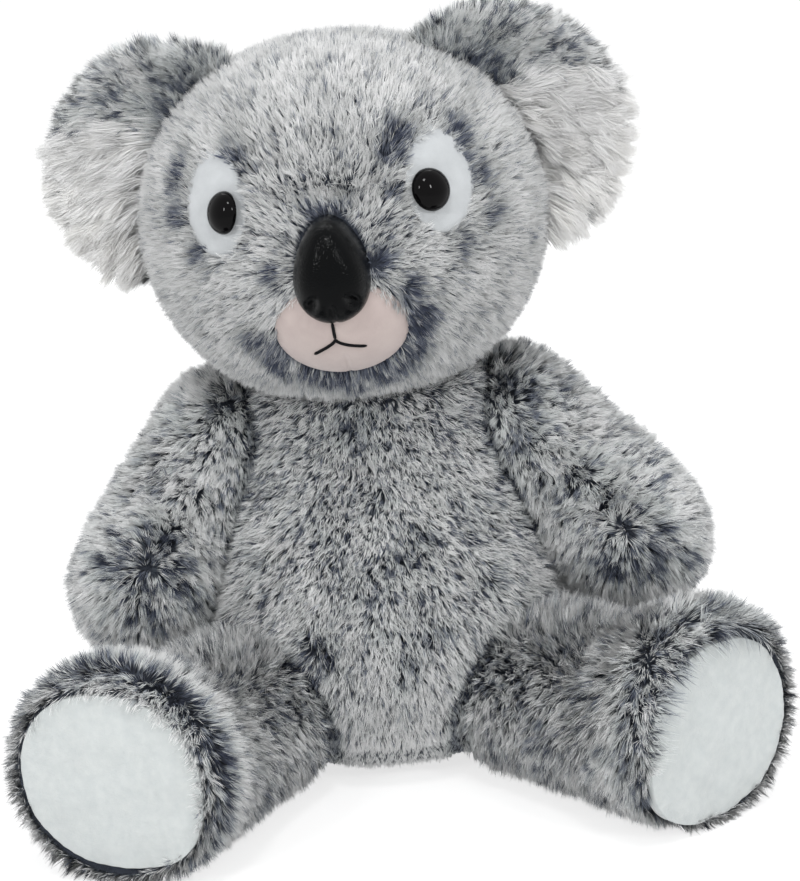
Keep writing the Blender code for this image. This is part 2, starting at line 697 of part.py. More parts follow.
def leg(side, body_clear, floor):
    """A leg that lies on the ground and turns about its hip, with a velour sole let into its end."""
    sign = SIDES[side]
    ball = LEG_FATNESS * LEG_RADIUS_SHARES[0]
    place = Vector((sign * HIP_X, HIP_Y, ball - FLOOR_CUT))
    hip = pivot(side + "_hip", place, Matrix.Rotation(sign * LEG_YAW[side], 4, "Z"))
    angles = [-sign * angle for angle in steps_between(LEG_CLOSE, LEG_SPREAD, LEG_STEPS)]
    trim = body_trim(side + "_leg_trim", body_clear, place, "Z", angles, ball)

    def outer(along):
        return limb_radius(along, ball, LEG_LENGTH, LEG_REACH_SHARES, LEG_RADIUS_SHARES, LEG_FATNESS)

    def turn_at(along):
        span = SOLE_TURN_END_SHARE - SOLE_TURN_START_SHARE
        share = min(max((along / LEG_LENGTH - SOLE_TURN_START_SHARE) / span, 0), 1)
        return sign * SOLE_TURN[side] * share * share * (3 - 2 * share)

    def place_at(along):
        turn = turn_at(along)
        rise = max(outer(max(along, 0)) - ball, 0)
        return Vector((0, -along, rise)), Vector((math.cos(turn), math.sin(turn), 0)), Vector((0, 0, 1))

    inside_end = LEG_LENGTH - SOLE_DEEP - SOLE_VELOUR
    skin, filling = limb_pieces(
        side + "_leg", outer, place_at, ball, LEG_LENGTH, inside_end, LEG_OPEN, hip, trim
    )
    sole_frame = Matrix.Translation(place_at(LEG_LENGTH)[0]) @ Matrix.Rotation(turn_at(LEG_LENGTH), 4, "Z")
    back = SOLE_DEEP + SOLE_VELOUR
    wide, tall = SOLE_WIDTH + 2 * GAP, SOLE_TALL + 2 * GAP
    recess = oval_rod(side + "_sole_recess", wide, tall, -OVERRUN, back + GAP, sole_frame, hip)
    cut(skin, recess)
    cut(filling, recess)
    cut(skin, floor)
    cut(filling, floor)
    crown = [(back, SOLE_BACK_SHARE), (back - GAP, 1)]
    crown += [(SOLE_DEEP - SOLE_CROWN * rise, share) for rise, share in SOLE_CROWN_SHARES]
    across, up = Vector((1, 0, 0)), Vector((0, 0, 1))
    rings = [
        oval(Vector((0, depth, 0)), across, up, SOLE_WIDTH / 2 * share, SOLE_TALL / 2 * share, FINE_SIDES)
        for depth, share in crown
    ]
    pad = add_object(side + "_sole_pad", mesh_of_rings(side + "_sole_pad", rings), "sole_velour", hip)
    pad.matrix_local = sole_frame


def build():
    clear_scene()
    floor = floor_cutter()
    turn = Matrix.Rotation(HEAD_TURN, 4, "Z") @ Matrix.Rotation(HEAD_LEAN, 4, "Y")
    neck = pivot("neck", Vector((0, -NECK_FORWARD, NECK_RISE)), turn)
    head_clear = head_cutter("head_clear", -GAP, neck)
    inlay_top = head_cutter("inlay_top", INLAY_DEEP, neck)
    inlay_back = head_cutter("inlay_back", INLAY_DEEP + FELT, neck)
    inlay_floor = head_cutter("inlay_floor", INLAY_DEEP + FELT + GAP, neck)
    skin, filling, hollow = head(neck)
    for side in SIDES:
        eye(side, neck, skin, filling, inlay_top, inlay_back, inlay_floor)
        ear(side, neck, head_clear)
    nose(neck, skin, filling, head_clear)
    muzzle(neck, skin, hollow, inlay_top)
    mouth(neck, head_cutter("velour_clear", INLAY_DEEP - GAP / 3, neck))
    clear_rings = body_rings(-SWING_CLEAR, FINE_SIDES, FINE_RINGS)
    body_clear = add_object("body_clear", mesh_of_rings("body_clear", clear_rings))
    sockets = []
    for side, sign in SIDES.items():
        arm_ball = ARM_FATNESS * ARM_RADIUS_SHARES[0]
        leg_ball = LEG_FATNESS * LEG_RADIUS_SHARES[0]
        shoulder = Vector((sign * SHOULDER_X, SHOULDER_Y, SHOULDER_Z))
        hip = Vector((sign * HIP_X, HIP_Y, leg_ball - FLOOR_CUT))
        for name, ball, place in ((side + "_shoulder", arm_ball, shoulder), (side + "_hip", leg_ball, hip)):
            kept = (ball + GAP / 3) / BALL_FACET_SHARE
            sockets.append(ball_cutter(name + "_socket", kept + GAP, place))
    body(sockets, floor)
    for side in SIDES:
        arm(side, body_clear)
        leg(side, body_clear, floor)


build()
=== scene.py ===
# %% [markdown]
# # A seated plush koala
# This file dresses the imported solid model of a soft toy. The toy is a set of sewn plush skins filled with
# loose fibre, with hard eyes and a hard nose. Almost all that the eye sees is fur, so the lesson is mostly
# about fur: where each tuft starts, which way it is combed, and how dark roots show between light tips.

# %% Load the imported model
import math

import bmesh
import bpy
import numpy as np
from mathutils import Matrix, Vector, kdtree


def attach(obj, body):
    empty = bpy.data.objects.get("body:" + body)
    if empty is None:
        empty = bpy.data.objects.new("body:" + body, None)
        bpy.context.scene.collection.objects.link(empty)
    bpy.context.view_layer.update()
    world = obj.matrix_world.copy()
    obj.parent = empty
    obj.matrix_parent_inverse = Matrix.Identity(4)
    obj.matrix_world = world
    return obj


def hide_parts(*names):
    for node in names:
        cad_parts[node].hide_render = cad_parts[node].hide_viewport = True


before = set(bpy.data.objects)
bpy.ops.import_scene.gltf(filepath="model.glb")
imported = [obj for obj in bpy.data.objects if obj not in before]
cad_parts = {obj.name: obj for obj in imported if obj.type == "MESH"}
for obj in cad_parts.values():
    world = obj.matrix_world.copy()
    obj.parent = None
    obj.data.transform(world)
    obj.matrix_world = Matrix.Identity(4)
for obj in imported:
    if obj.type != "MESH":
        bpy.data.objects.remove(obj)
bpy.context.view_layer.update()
MM = 0.001
SIDES = {"left": 1, "right": -1}

# %% [markdown]
# ## Colours and shader nodes
# Colours are written as sRGB hex values, as a paint chart would give them. The renderer works with linear
# light, so one function turns them. A second function adds one shader node and wires it up, which keeps
# each material below down to the nodes that make its look.

# %% Colours and nodes
def linear(code):
    """Turns an sRGB hex colour into linear light with full alpha."""
    parts = [int(code[i:i + 2], 16) / 255 for i in (1, 3, 5)]
    return (*[p / 12.92 if p <= 0.04045 else ((p + 0.055) / 1.055) ** 2.4 for p in parts], 1.0)


def add(tree, kind, inputs=None, stops=None, **settings):
    """Adds a node: settings are its options, inputs are values or sockets to link, stops colour a ramp."""
    made = tree.nodes.new(kind)
    for key, value in settings.items():
        setattr(made, key, value)
    for key, value in (inputs or {}).items():
        if isinstance(value, bpy.types.NodeSocket):
            tree.links.new(value, made.inputs[key])
        else:
            made.inputs[key].default_value = value
    if stops:
        ramp = made.color_ramp
        while len(ramp.elements) < len(stops):
            ramp.elements.new(0.5)
        for element, (place, code) in zip(ramp.elements, stops):
            element.position = place
            element.color = linear(code)
    return made


def finish_named(name, **values):
    """A material with one principled shader, and its node tree."""
    made = bpy.data.materials.new(name)
    made.use_nodes = True
    tree = made.node_tree
    tree.nodes.clear()
    shader = add(tree, "ShaderNodeBsdfPrincipled", {key.replace("_", " "): v for key, v in values.items()})
    add(tree, "ShaderNodeOutputMaterial", {"Surface": shader.outputs[0]})
    return made, tree, shader


print("white is", linear("#ffffff"))

# %% [markdown]
# ## Frosted plush
# Frosted plush is acrylic pile that is dyed dark at the root and left pale at the tip. Each strand here
# carries its own map: across it runs the strand's tone, along it runs the way from root to tip. Two ramps
# read the tone, one for the root's colour and one for the tip's, and the way along the strand mixes them.
# Single fibres are about 0.02 mm thick, which no render at this size can show, so each strand stands for a
# lock about a quarter of a millimetre wide. A strand is a flat ribbon, and real pile scatters light softly,
# so its shading leans towards the skin's own direction, which is stored on each strand as "nap". Blender's
# hair could do this too, but flat ribbons also survive the export as plain triangles.

# %% Pile materials
def pile(name, roots, tips, fade):
    """A pile coloured by tone across its map and by root-to-tip along it."""
    made, tree, shader = finish_named(name, Roughness=0.62, Sheen_Weight=0.15, Sheen_Roughness=0.5)
    place = add(tree, "ShaderNodeUVMap", uv_map="OFBake")
    parts = add(tree, "ShaderNodeSeparateXYZ", {0: place.outputs[0]})
    root = add(tree, "ShaderNodeValToRGB", {0: parts.outputs[0]}, stops=roots)
    tip = add(tree, "ShaderNodeValToRGB", {0: parts.outputs[0]}, stops=tips)
    way = add(tree, "ShaderNodeMapRange", {0: parts.outputs[1], 1: fade[0], 2: fade[1]},
              interpolation_type="SMOOTHSTEP")
    mixed = add(tree, "ShaderNodeMix", {0: way.outputs[0], 6: root.outputs[0], 7: tip.outputs[0]},
                data_type="RGBA")
    tree.links.new(mixed.outputs[2], shader.inputs["Base Color"])
    through_light = add(tree, "ShaderNodeBsdfTranslucent", {"Color": mixed.outputs[2]})
    both = add(tree, "ShaderNodeMixShader", {0: 0.32, 1: shader.outputs[0], 2: through_light.outputs[0]})
    tree.links.new(both.outputs[0], tree.nodes["Material Output"].inputs["Surface"])
    nap = add(tree, "ShaderNodeAttribute", attribute_name="nap")
    skin_way = add(tree, "ShaderNodeVectorTransform", {0: nap.outputs[1]}, vector_type="NORMAL",
                   convert_from="OBJECT", convert_to="WORLD")
    own = add(tree, "ShaderNodeNewGeometry")
    leaned = add(tree, "ShaderNodeVectorMath", operation="MULTIPLY_ADD", inputs={
        0: skin_way.outputs[0], 1: (2.6, 2.6, 2.6), 2: own.outputs["Normal"]})
    length = add(tree, "ShaderNodeVectorMath", {0: leaned.outputs[0]}, operation="NORMALIZE")
    tree.links.new(length.outputs[0], shader.inputs["Normal"])
    return made


# Cut and brushed acrylic pile of the head: pale and even, with blue-grey only where it parts.
brushed_plush = pile(
    "frosted_acrylic_plush_brushed",
    roots=[(0.0, "#1b2233"), (0.5, "#535b6c"), (1.0, "#adb1b4")],
    tips=[(0.0, "#3d455b"), (0.3, "#7e8594"), (0.6, "#cfd1d0"), (1.0, "#ffffff")],
    fade=(0.10, 0.45),
)
# Frosted acrylic pile of body, limbs and ear backs: near-black roots under pale tips give the hard speckle.
frosted_plush = pile(
    "frosted_acrylic_plush",
    roots=[(0.0, "#0e131f"), (0.5, "#272e3d"), (1.0, "#59616b")],
    tips=[(0.0, "#2f374c"), (0.3, "#7b8393"), (0.6, "#e2e6e5"), (1.0, "#ffffff")],
    fade=(0.22, 0.60),
)
# Undyed long acrylic pile of the ears, white to the root: its grey roots and low tones are painted shade for
# the deep gaps between locks and the fold at the ear's root.
white_pile = pile(
    "white_acrylic_long_pile",
    roots=[(0.0, "#6d7178"), (0.5, "#dcdcd9"), (1.0, "#f8f7f4")],
    tips=[(0.0, "#dcdcd9"), (0.5, "#fffefb"), (1.0, "#ffffff")],
    fade=(0.04, 0.35),
)
print("pile materials", [made.name for made in (brushed_plush, frosted_plush, white_pile)])

# %% [markdown]
# ## Knitted backing, felt, velour
# Under the pile lies a knitted polyester backing, which only shows as darkness between the strands. The eye
# rounds are pressed white felt: matte, with a faint fibre relief. The muzzle and the soles are short
# velour, whose tiny pile gives a soft sheen at grazing angles and cloudy patches where it was brushed. All
# of them are one recipe at different sizes: slow clouds of colour, and a fine grain that lifts the surface
# a little.

# %% Cloth materials
def cloth(name, dark, light, cloud_mm, grain_mm, relief, sheen=0.3, rough=0.9):
    """A cloth with cloudy colour and a fine grain, both at real sizes."""
    made, tree, shader = finish_named(name, Roughness=rough, Sheen_Weight=sheen, Sheen_Roughness=0.45)
    where = add(tree, "ShaderNodeTexCoord")
    cloud = add(tree, "ShaderNodeTexNoise", {"Vector": where.outputs["Object"], "Scale": 1 / (cloud_mm * MM),
                                             "Detail": 4.0, "Roughness": 0.6})
    colour = add(tree, "ShaderNodeValToRGB", {0: cloud.outputs[0]}, stops=[(0.32, dark), (0.68, light)])
    tree.links.new(colour.outputs[0], shader.inputs["Base Color"])
    grain = add(tree, "ShaderNodeTexNoise", {"Vector": where.outputs["Object"], "Scale": 1 / (grain_mm * MM),
                                             "Detail": 3.0, "Roughness": 0.7, "Distortion": 0.6})
    both = add(tree, "ShaderNodeMath", {0: grain.outputs[0], 1: 1.0, 2: cloud.outputs[0]},
               operation="MULTIPLY_ADD")
    bump = add(tree, "ShaderNodeBump", {"Height": both.outputs[0], "Strength": relief, "Distance": 0.35 * MM})
    tree.links.new(bump.outputs[0], shader.inputs["Normal"])
    return made


# Knitted and dyed dark with the roots: the darkness at the bottom of every gap in the pile.
knit_backing = cloth("knitted_polyester_backing", "#1d222d", "#3a404c", 9, 0.7, 0.8, 0.1)
# Knitted and undyed: keeps the white ears from darkening where their locks part.
pale_backing = cloth("pale_knitted_backing", "#b5b6b7", "#d5d4d2", 9, 0.7, 0.8, 0.1)
# Wool and polyester pressed into a sheet: flat cool white without any highlight, so the eyes stand out.
felt = cloth("pressed_white_felt", "#b0b3b5", "#bbbec0", 7, 0.5, 0.35, 0.35)
# Dyed and sheared short pile: soft rose beige, lighter where the surface turns away.
muzzle_velour = cloth("rose_beige_velour", "#b2a39f", "#baaca7", 6, 0.45, 0.25, 0.5)
# White sheared pile, pressed in patches by handling: faint clouds on the flat soles.
sole_velour = cloth("white_velour", "#bbc0c0", "#c5c9c8", 3.2, 0.55, 0.5, 0.4)
# Carded and blown loose: lumpy and white, seen only where a skin is opened.
fibre = cloth("loose_polyester_fibre", "#cfcfcd", "#f0f0ee", 5, 0.8, 1.0, 0.2)
print("cloths", [made.name for made in (knit_backing, pale_backing, felt, muzzle_velour, sole_velour, fibre)])

# %% [markdown]
# ## Hard plastic and thread
# Eyes are injection moulded from glossy black ABS. The nose is moulded too, but its mould was etched with a
# leather grain, so its gloss breaks into soft streaks. Washers are natural polypropylene. The mouth is
# twisted thread. Their mirror-like part is set low: in the white studio a full gloss would turn the black
# plastic grey.

# %% Eye plastic
# Polished mould, black ABS: deep black with small hard highlights, a haze of 4 mm blurs them unevenly.
eye_plastic, eye_tree, eye_shader = finish_named(
    "glossy_black_ABS", Base_Color=linear("#050405"), Roughness=0.06, IOR=1.5, Specular_IOR_Level=0.10)
eye_where = add(eye_tree, "ShaderNodeTexCoord")
eye_haze = add(eye_tree, "ShaderNodeTexNoise", {"Vector": eye_where.outputs["Object"], "Scale": 1 / (4 * MM)})
eye_rough = add(eye_tree, "ShaderNodeMapRange", {0: eye_haze.outputs[0], 3: 0.03, 4: 0.05})
eye_tree.links.new(eye_rough.outputs[0], eye_shader.inputs["Roughness"])
print("eye plastic", eye_plastic.name)

# %% Nose plastic
# Black ABS from an etched mould: cells of 0.9 mm and pores of 0.35 mm break its gloss into soft streaks.
nose_plastic, nose_tree, nose_shader = finish_named(
    "leather_grained_ABS", Base_Color=linear("#040506"), IOR=1.5, Specular_IOR_Level=0.08)
nose_where = add(nose_tree, "ShaderNodeTexCoord")
grain = add(nose_tree, "ShaderNodeTexVoronoi", feature="DISTANCE_TO_EDGE", inputs={
    "Vector": nose_where.outputs["Object"], "Scale": 1 / (0.9 * MM)})
grain_step = add(nose_tree, "ShaderNodeMapRange", {0: grain.outputs[0], 1: 0.0, 2: 0.25},
                 interpolation_type="SMOOTHSTEP")
pores = add(nose_tree, "ShaderNodeTexNoise", {
    "Vector": nose_where.outputs["Object"], "Scale": 1 / (0.35 * MM), "Detail": 3.0})
nose_height = add(nose_tree, "ShaderNodeMath", {0: pores.outputs[0], 1: 0.5, 2: grain_step.outputs[0]},
                  operation="MULTIPLY_ADD")
nose_bump = add(nose_tree, "ShaderNodeBump", {"Height": nose_height.outputs[0], "Strength": 0.4,
                                              "Distance": 0.09 * MM})
nose_tree.links.new(nose_bump.outputs[0], nose_shader.inputs["Normal"])
nose_rough = add(nose_tree, "ShaderNodeMapRange", {0: pores.outputs[0], 3: 0.09, 4: 0.20})
nose_tree.links.new(nose_rough.outputs[0], nose_shader.inputs["Roughness"])
print("nose plastic", nose_plastic.name)

# %% Washer plastic and thread
# Moulded natural polypropylene: milky and half matte, as washers are that nobody sees.
washer_plastic, washer_tree, washer_shader = finish_named("natural_polypropylene", Roughness=0.45, IOR=1.49)
washer_noise = add(washer_tree, "ShaderNodeTexNoise", {"Scale": 1 / (2 * MM)})
washer_colour = add(washer_tree, "ShaderNodeValToRGB", {0: washer_noise.outputs[0]},
                    stops=[(0.3, "#d3d3ce"), (0.7, "#e3e3de")])
washer_tree.links.new(washer_colour.outputs[0], washer_shader.inputs["Base Color"])

# Three strands of dyed polyester twisted together: matte black with faint slanting bands.
thread_black, thread_tree, thread_shader = finish_named(
    "twisted_polyester_thread", Roughness=0.8, Specular_IOR_Level=0.15)
thread_place = add(thread_tree, "ShaderNodeUVMap", uv_map="OFBake")
twist = add(thread_tree, "ShaderNodeTexWave", {"Vector": thread_place.outputs[0], "Scale": 3.0},
            bands_direction="DIAGONAL")
thread_colour = add(thread_tree, "ShaderNodeValToRGB", {0: twist.outputs[1]},
                    stops=[(0.2, "#030304"), (0.8, "#121216")])
thread_tree.links.new(thread_colour.outputs[0], thread_shader.inputs["Base Color"])
print("materials", len(bpy.data.materials))

# %% [markdown]
# ## The forms
# The solids were drawn from a few tables: a pear for the body, an egg with a snout for the head, a ball
# that swells into a paw or foot for each limb, and a cupped round for each ear. The same tables are drawn
# here again, finer, as functions that give a point for a row and a turn. Both run from 0 to 1, and whole
# arrays go in at once.

# %% Curves through tables
def through(places, values, at):
    """A smooth curve through a table's values, read at many places."""
    places, values = np.array(places), np.array(values)
    at = np.clip(at, places[0], places[-1])
    slopes = np.gradient(values, places)
    i = np.clip(np.searchsorted(places, at) - 1, 0, len(places) - 2)
    step = places[i + 1] - places[i]
    t = (at - places[i]) / step
    start = (2 * t**3 - 3 * t**2 + 1) * values[i] + (t**3 - 2 * t**2 + t) * step * slopes[i]
    end = (3 * t**2 - 2 * t**3) * values[i + 1] + (t**3 - t**2) * step * slopes[i + 1]
    return start + end


def points(x, y, z):
    """One array of points from three of widths, depths and heights."""
    return np.stack(np.broadcast_arrays(x, y, z), axis=-1)


def moved(matrix, place):
    """Points through a 4 by 4 matrix."""
    m = np.array(matrix)
    return place @ m[:3, :3].T + m[:3, 3]


def unit(v):
    """Arrows made one long."""
    return v / np.maximum(np.linalg.norm(v, axis=-1, keepdims=True), 1e-9)


def smoothstep(low, high, x):
    """An even ramp with soft ends: 0 at low, 1 at high."""
    t = np.clip((x - low) / (high - low), 0, 1)
    return t * t * (3 - 2 * t)


print("halfway up the ramp", smoothstep(0, 1, np.array(0.5)))

# %% The body's pear
BODY_HEIGHTS = (0.0, 0.03, 0.10, 0.22, 0.36, 0.50, 0.65, 0.78, 0.88, 0.95, 1.0)
BODY_SWELLS = (0.52, 0.76, 0.91, 0.985, 1.0, 0.965, 0.88, 0.79, 0.70, 0.58, 0.30)
BODY_LEANS = (0.02, 0.02, 0.01, -0.01, -0.02, -0.015, 0.0, 0.01, 0.0, -0.02, -0.03)
BODY_TALL, BODY_HALF_WIDE, BODY_HALF_DEEP = 124 * MM, 58 * MM, 50 * MM


def body_form(row, turn, inset=0.0):
    """The body: its seat is flat on the ground, and its top ends inside the head."""
    share = 0.5 - 0.5 * np.cos(np.pi * row)
    height = inset + (BODY_TALL - 2 * inset) * share
    swell = through(BODY_HEIGHTS, BODY_SWELLS, height / BODY_TALL)
    lean = through(BODY_HEIGHTS, BODY_LEANS, height / BODY_TALL) * 2 * BODY_HALF_DEEP
    wide = np.maximum(BODY_HALF_WIDE * swell - inset, 0.5 * MM)
    deep = np.maximum(BODY_HALF_DEEP * swell - inset, 0.5 * MM)
    a = 2 * np.pi * turn
    return points(wide * np.cos(a), lean + deep * np.sin(a), np.maximum(height, 0.2 * MM))


print("body's front at", (body_form(np.array(0.4), np.array(0.75)) / MM).round(1), "mm")

# %% The head's egg and snout
NECK = (Matrix.Translation((0, -6 * MM, 111 * MM)) @ Matrix.Rotation(math.radians(-4), 4, "Z")
        @ Matrix.Rotation(math.radians(-3), 4, "Y"))
HEAD_HALF = (58.5 * MM, 51.5 * MM, 53 * MM)


def head_local(angle, a, inset):
    """A point in the neck's frame: angle runs from chin to crown, a goes round."""
    full = np.sin(angle) ** 0.9
    x = (HEAD_HALF[0] - inset) * full * np.cos(a)
    y = (HEAD_HALF[1] - inset) * full * np.sin(a)
    rise = HEAD_HALF[2] - (HEAD_HALF[2] - inset) * np.cos(angle)
    snout = 10 * MM * np.exp(-((x / (17 * MM)) ** 2 + ((rise - 36 * MM) / (15 * MM)) ** 2) / 2)
    brow = 3.0 * MM * np.exp(-((x / (9 * MM)) ** 2 + ((rise - 68 * MM) / (4.5 * MM)) ** 2))
    front = np.sqrt(np.maximum(-np.sin(a), 0))
    return points(x, y - (snout - brow) * front, rise)


def head_form(row, turn, inset=0.0):
    """The head as it leans on the neck, from chin to crown."""
    angle = np.pi * (0.02 + 0.977 * row)
    return moved(NECK, head_local(angle, 2 * np.pi * turn, inset))


def face(x, rise, inset=0.0):
    """The point on the front of the head at a width and a rise, in the neck's frame."""
    angle = np.arccos((HEAD_HALF[2] - rise) / (HEAD_HALF[2] - inset))
    half = (HEAD_HALF[0] - inset) * np.sin(angle) ** 0.9
    return head_local(angle, -np.arccos(np.clip(x / half, -1, 1)), inset)


def face_frame(x, rise, tilt=0.0):
    """A frame on the face whose -Y points straight out of it."""
    e = 0.8 * MM
    across = Vector(face(x + e, rise) - face(x - e, rise))
    up = Vector(face(x, rise + e) - face(x, rise - e))
    inwards = up.cross(across).normalized()
    across.normalize()
    turn = Matrix((across, inwards, across.cross(inwards))).transposed().to_4x4()
    return Matrix.Translation(Vector(face(x, rise))) @ turn @ Matrix.Rotation(tilt, 4, "Y")


print("crown at", (head_form(np.array(1.0), np.array(0.0))[2] / MM).round(1), "mm")

# %% The limbs
ARM_ROWS = (0.0, 0.15, 0.30, 0.46, 0.62, 0.78, 0.90, 0.97, 1.0)
ARM_SWELLS = (0.95, 0.96, 0.98, 1.0, 1.0, 0.93, 0.72, 0.42, 0.10)
LEG_ROWS = (0.0, 0.20, 0.40, 0.58, 0.74, 0.88, 0.96, 1.0)
LEG_SWELLS = (0.778, 0.77, 0.775, 0.82, 0.92, 1.0, 0.985, 0.94)
ARM = {"fat": 22.5 * MM, "long": 69 * MM, "ball": 0.95 * 22.5 * MM}
LEG = {"fat": 32 * MM, "long": 84 * MM, "ball": 0.778 * 32 * MM}
ARM_FRAMES, LEG_FRAMES = {}, {}
for side, sign in SIDES.items():
    out = math.radians({"left": 44, "right": 35}[side])
    ARM_FRAMES[side] = (Matrix.Translation((sign * 42.5 * MM, -4 * MM, 98 * MM))
                        @ Matrix.Rotation(-sign * out, 4, "Y") @ Matrix.Rotation(math.radians(-13.5), 4, "X"))
    yaw = math.radians({"left": 44, "right": 33}[side])
    LEG_FRAMES[side] = (Matrix.Translation((sign * 32 * MM, -23 * MM, LEG["ball"] - 0.5 * MM))
                        @ Matrix.Rotation(sign * yaw, 4, "Z"))
SOLE_TURNS = {"left": math.radians(-4), "right": math.radians(-12)}


def limb_radius(along, limb, rows, swells):
    """A limb's radius: a ball behind its joint, the table's swells before it."""
    ball = np.sqrt(np.maximum(limb["ball"] ** 2 - along**2, 0))
    return np.where(along < 0, ball, limb["fat"] * through(rows, swells, along / limb["long"]))


def arm_form(side):
    """An arm; its last rows close the paw's end."""
    def form(row, turn, inset=0.0):
        share = 0.5 - 0.5 * np.cos(np.pi * np.minimum(row / 0.93, 1))
        end = 0.5 * np.pi * np.clip((row - 0.93) / 0.07, 0, 1)
        along = -ARM["ball"] + inset + (ARM["long"] + ARM["ball"] - 2 * inset) * share
        radius = np.maximum((limb_radius(along, ARM, ARM_ROWS, ARM_SWELLS) - inset) * np.cos(end), 0.3 * MM)
        along = along + 1.2 * MM * np.sin(end)
        a = -2 * np.pi * turn
        return moved(ARM_FRAMES[side], points(radius * np.cos(a), radius * np.sin(a), -along))
    return form


def sole_turn(side, along):
    """How far the foot is turned at each place along the leg."""
    return SIDES[side] * SOLE_TURNS[side] * smoothstep(0.45, 0.9, along / LEG["long"])


def leg_form(side):
    """A leg; its last rows round over the rim towards the sole."""
    def form(row, turn, inset=0.0):
        share = 0.5 - 0.5 * np.cos(np.pi * np.minimum(row / 0.9, 1))
        rim = np.clip((row - 0.9) / 0.1, 0, 1)
        along = -LEG["ball"] + inset + (LEG["long"] + LEG["ball"] - 1.5 * inset) * share
        radius = limb_radius(along, LEG, LEG_ROWS, LEG_SWELLS)
        rise = np.maximum(np.where(along < 0, LEG["ball"], radius) - LEG["ball"], 0)
        radius = np.maximum(radius - inset - 3.2 * MM * rim**2, 0.3 * MM)
        along = along + 1.2 * MM * np.sin(np.pi * rim)
        lean, a = sole_turn(side, along), 2 * np.pi * turn
        place = points(radius * np.cos(a) * np.cos(lean), radius * np.cos(a) * np.sin(lean) - along,
                       rise + radius * np.sin(a))
        place = moved(LEG_FRAMES[side], place)
        place[..., 2] = np.maximum(place[..., 2], 0.25 * MM)
        return place
    return form


for side in SIDES:
    print(side, "foot ends at", (leg_form(side)(np.array(1.0), np.array(0.0)) / MM).round(1), "mm")

# %% The ears
EAR_REACH = 32 * MM
EAR_FRAMES = {}
for side, sign in SIDES.items():
    slant = Matrix.Rotation(math.radians(-22) * sign, 4, "Y")
    EAR_FRAMES[side] = (NECK @ Matrix.Translation((sign * 40.5 * MM, 7 * MM, 71 * MM))
                        @ slant @ Matrix.Rotation(math.radians(8) * sign, 4, "Z"))


def ear_form(side, towards):
    """One panel of an ear; towards is -1 for the front and 1 for the back."""
    sign = SIDES[side]

    def form(row, turn, inset=0.0):
        a = 2 * np.pi * turn
        inwards = np.maximum(-np.cos(a), 1e-6)
        reach = np.minimum(EAR_REACH, np.where(np.cos(a) < 0, 9 * MM / inwards, 1.0)) * row
        cup = -8.5 * MM * (reach / EAR_REACH) ** 2
        thick = 1.0 * MM + 3.6 * MM * np.sqrt(np.maximum(1 - row**3, 0)) - inset
        x = sign * (6 * MM + reach * np.cos(a))
        return moved(EAR_FRAMES[side], points(x, cup + towards * thick, reach * np.sin(a)))
    return form


print("ear reaches", (ear_form("left", -1)(np.array(1.0), np.array(0.0)) / MM).round(1), "mm")

# %% [markdown]
# ## Skins under the fur
# Each sewn skin is a closed form a little inside the pile's surface, made of rings of points. It takes the
# place of the plain solid, carries the dark backing, and is what the fur grows on. It could be cut out of
# the solids' own meshes, but rings through the tables are finer and even, so the pile's roots lie evenly
# too.

# %% Make a closed skin
def mesh_from(name, rings, material):
    """A mesh through rings of points, each end closed by a fan."""
    rows, cols = rings.shape[:2]
    ends = [rings[0].mean(0), rings[-1].mean(0)]
    verts = np.concatenate([rings.reshape(-1, 3), ends])
    i = np.arange(rows - 1)[:, None] * cols
    j, k = np.arange(cols), (np.arange(cols) + 1) % cols
    quads = np.stack([i + j, i + k, i + cols + k, i + cols + j], -1).reshape(-1, 4)
    fans = [(int(k[c]), int(c), rows * cols) for c in range(cols)]
    last = (rows - 1) * cols
    fans += [(last + int(c), last + int(k[c]), rows * cols + 1) for c in range(cols)]
    mesh = bpy.data.meshes.new(name)
    mesh.from_pydata(verts.tolist(), [], quads.tolist() + fans)
    mesh.materials.append(material)
    shape = bmesh.new()
    shape.from_mesh(mesh)
    bmesh.ops.recalc_face_normals(shape, faces=shape.faces)
    shape.to_mesh(mesh)
    shape.free()
    mesh.shade_smooth()
    made = bpy.data.objects.new(name, mesh)
    bpy.context.scene.collection.objects.link(made)
    return made


def grid(form, rows, cols, inset, span=(0.0, 1.0)):
    """Rings of points over a form."""
    row, turn = np.meshgrid(np.linspace(*span, rows), np.arange(cols) / cols, indexing="ij")
    return form(row, turn, inset)


def dress(piece, body, slot, *nodes):
    """Says what a piece rides on and hides the solids it stands for; slot is not used."""
    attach(piece, body)
    if nodes:
        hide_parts(*nodes)
    return piece


print("a backing has", 72 * 96, "points")

# %% Sew the skins
ROOT_IN = 2.6 * MM  # the backing lies this far inside the pressed pile
skins = {"body": ("torso", body_form), "head": ("head", head_form)}
for side in SIDES:
    skins[side + "_arm"] = (side + "_arm", arm_form(side))
    skins[side + "_leg"] = (side + "_leg", leg_form(side))
for name, (body, form) in skins.items():
    skin = mesh_from(name + "_backing", grid(form, 72, 96, ROOT_IN), knit_backing)
    dress(skin, body, "grey_plush", name + "_skin")
EAR_PANELS = (("back", 1, "grey_plush", knit_backing), ("front", -1, "white_plush", pale_backing))
for side in SIDES:
    for part, towards, slot, material in EAR_PANELS:
        form = ear_form(side, towards)
        outer = grid(form, 24, 72, 1.4 * MM, (0.06, 1.0))
        inner = grid(form, 24, 72, 4.3 * MM, (0.06, 0.985))[::-1]
        panel = mesh_from(f"{side}_ear_{part}_backing", np.concatenate([outer, inner]), material)
        dress(panel, side + "_ear", slot, f"{side}_ear_{part}")
print("skins", len(skins) + 4)

# %% [markdown]
# ## Fibre filling
# The filling is loose polyester fibre. It shows only where a skin is open, so a lumpy copy of each filled
# solid is enough.

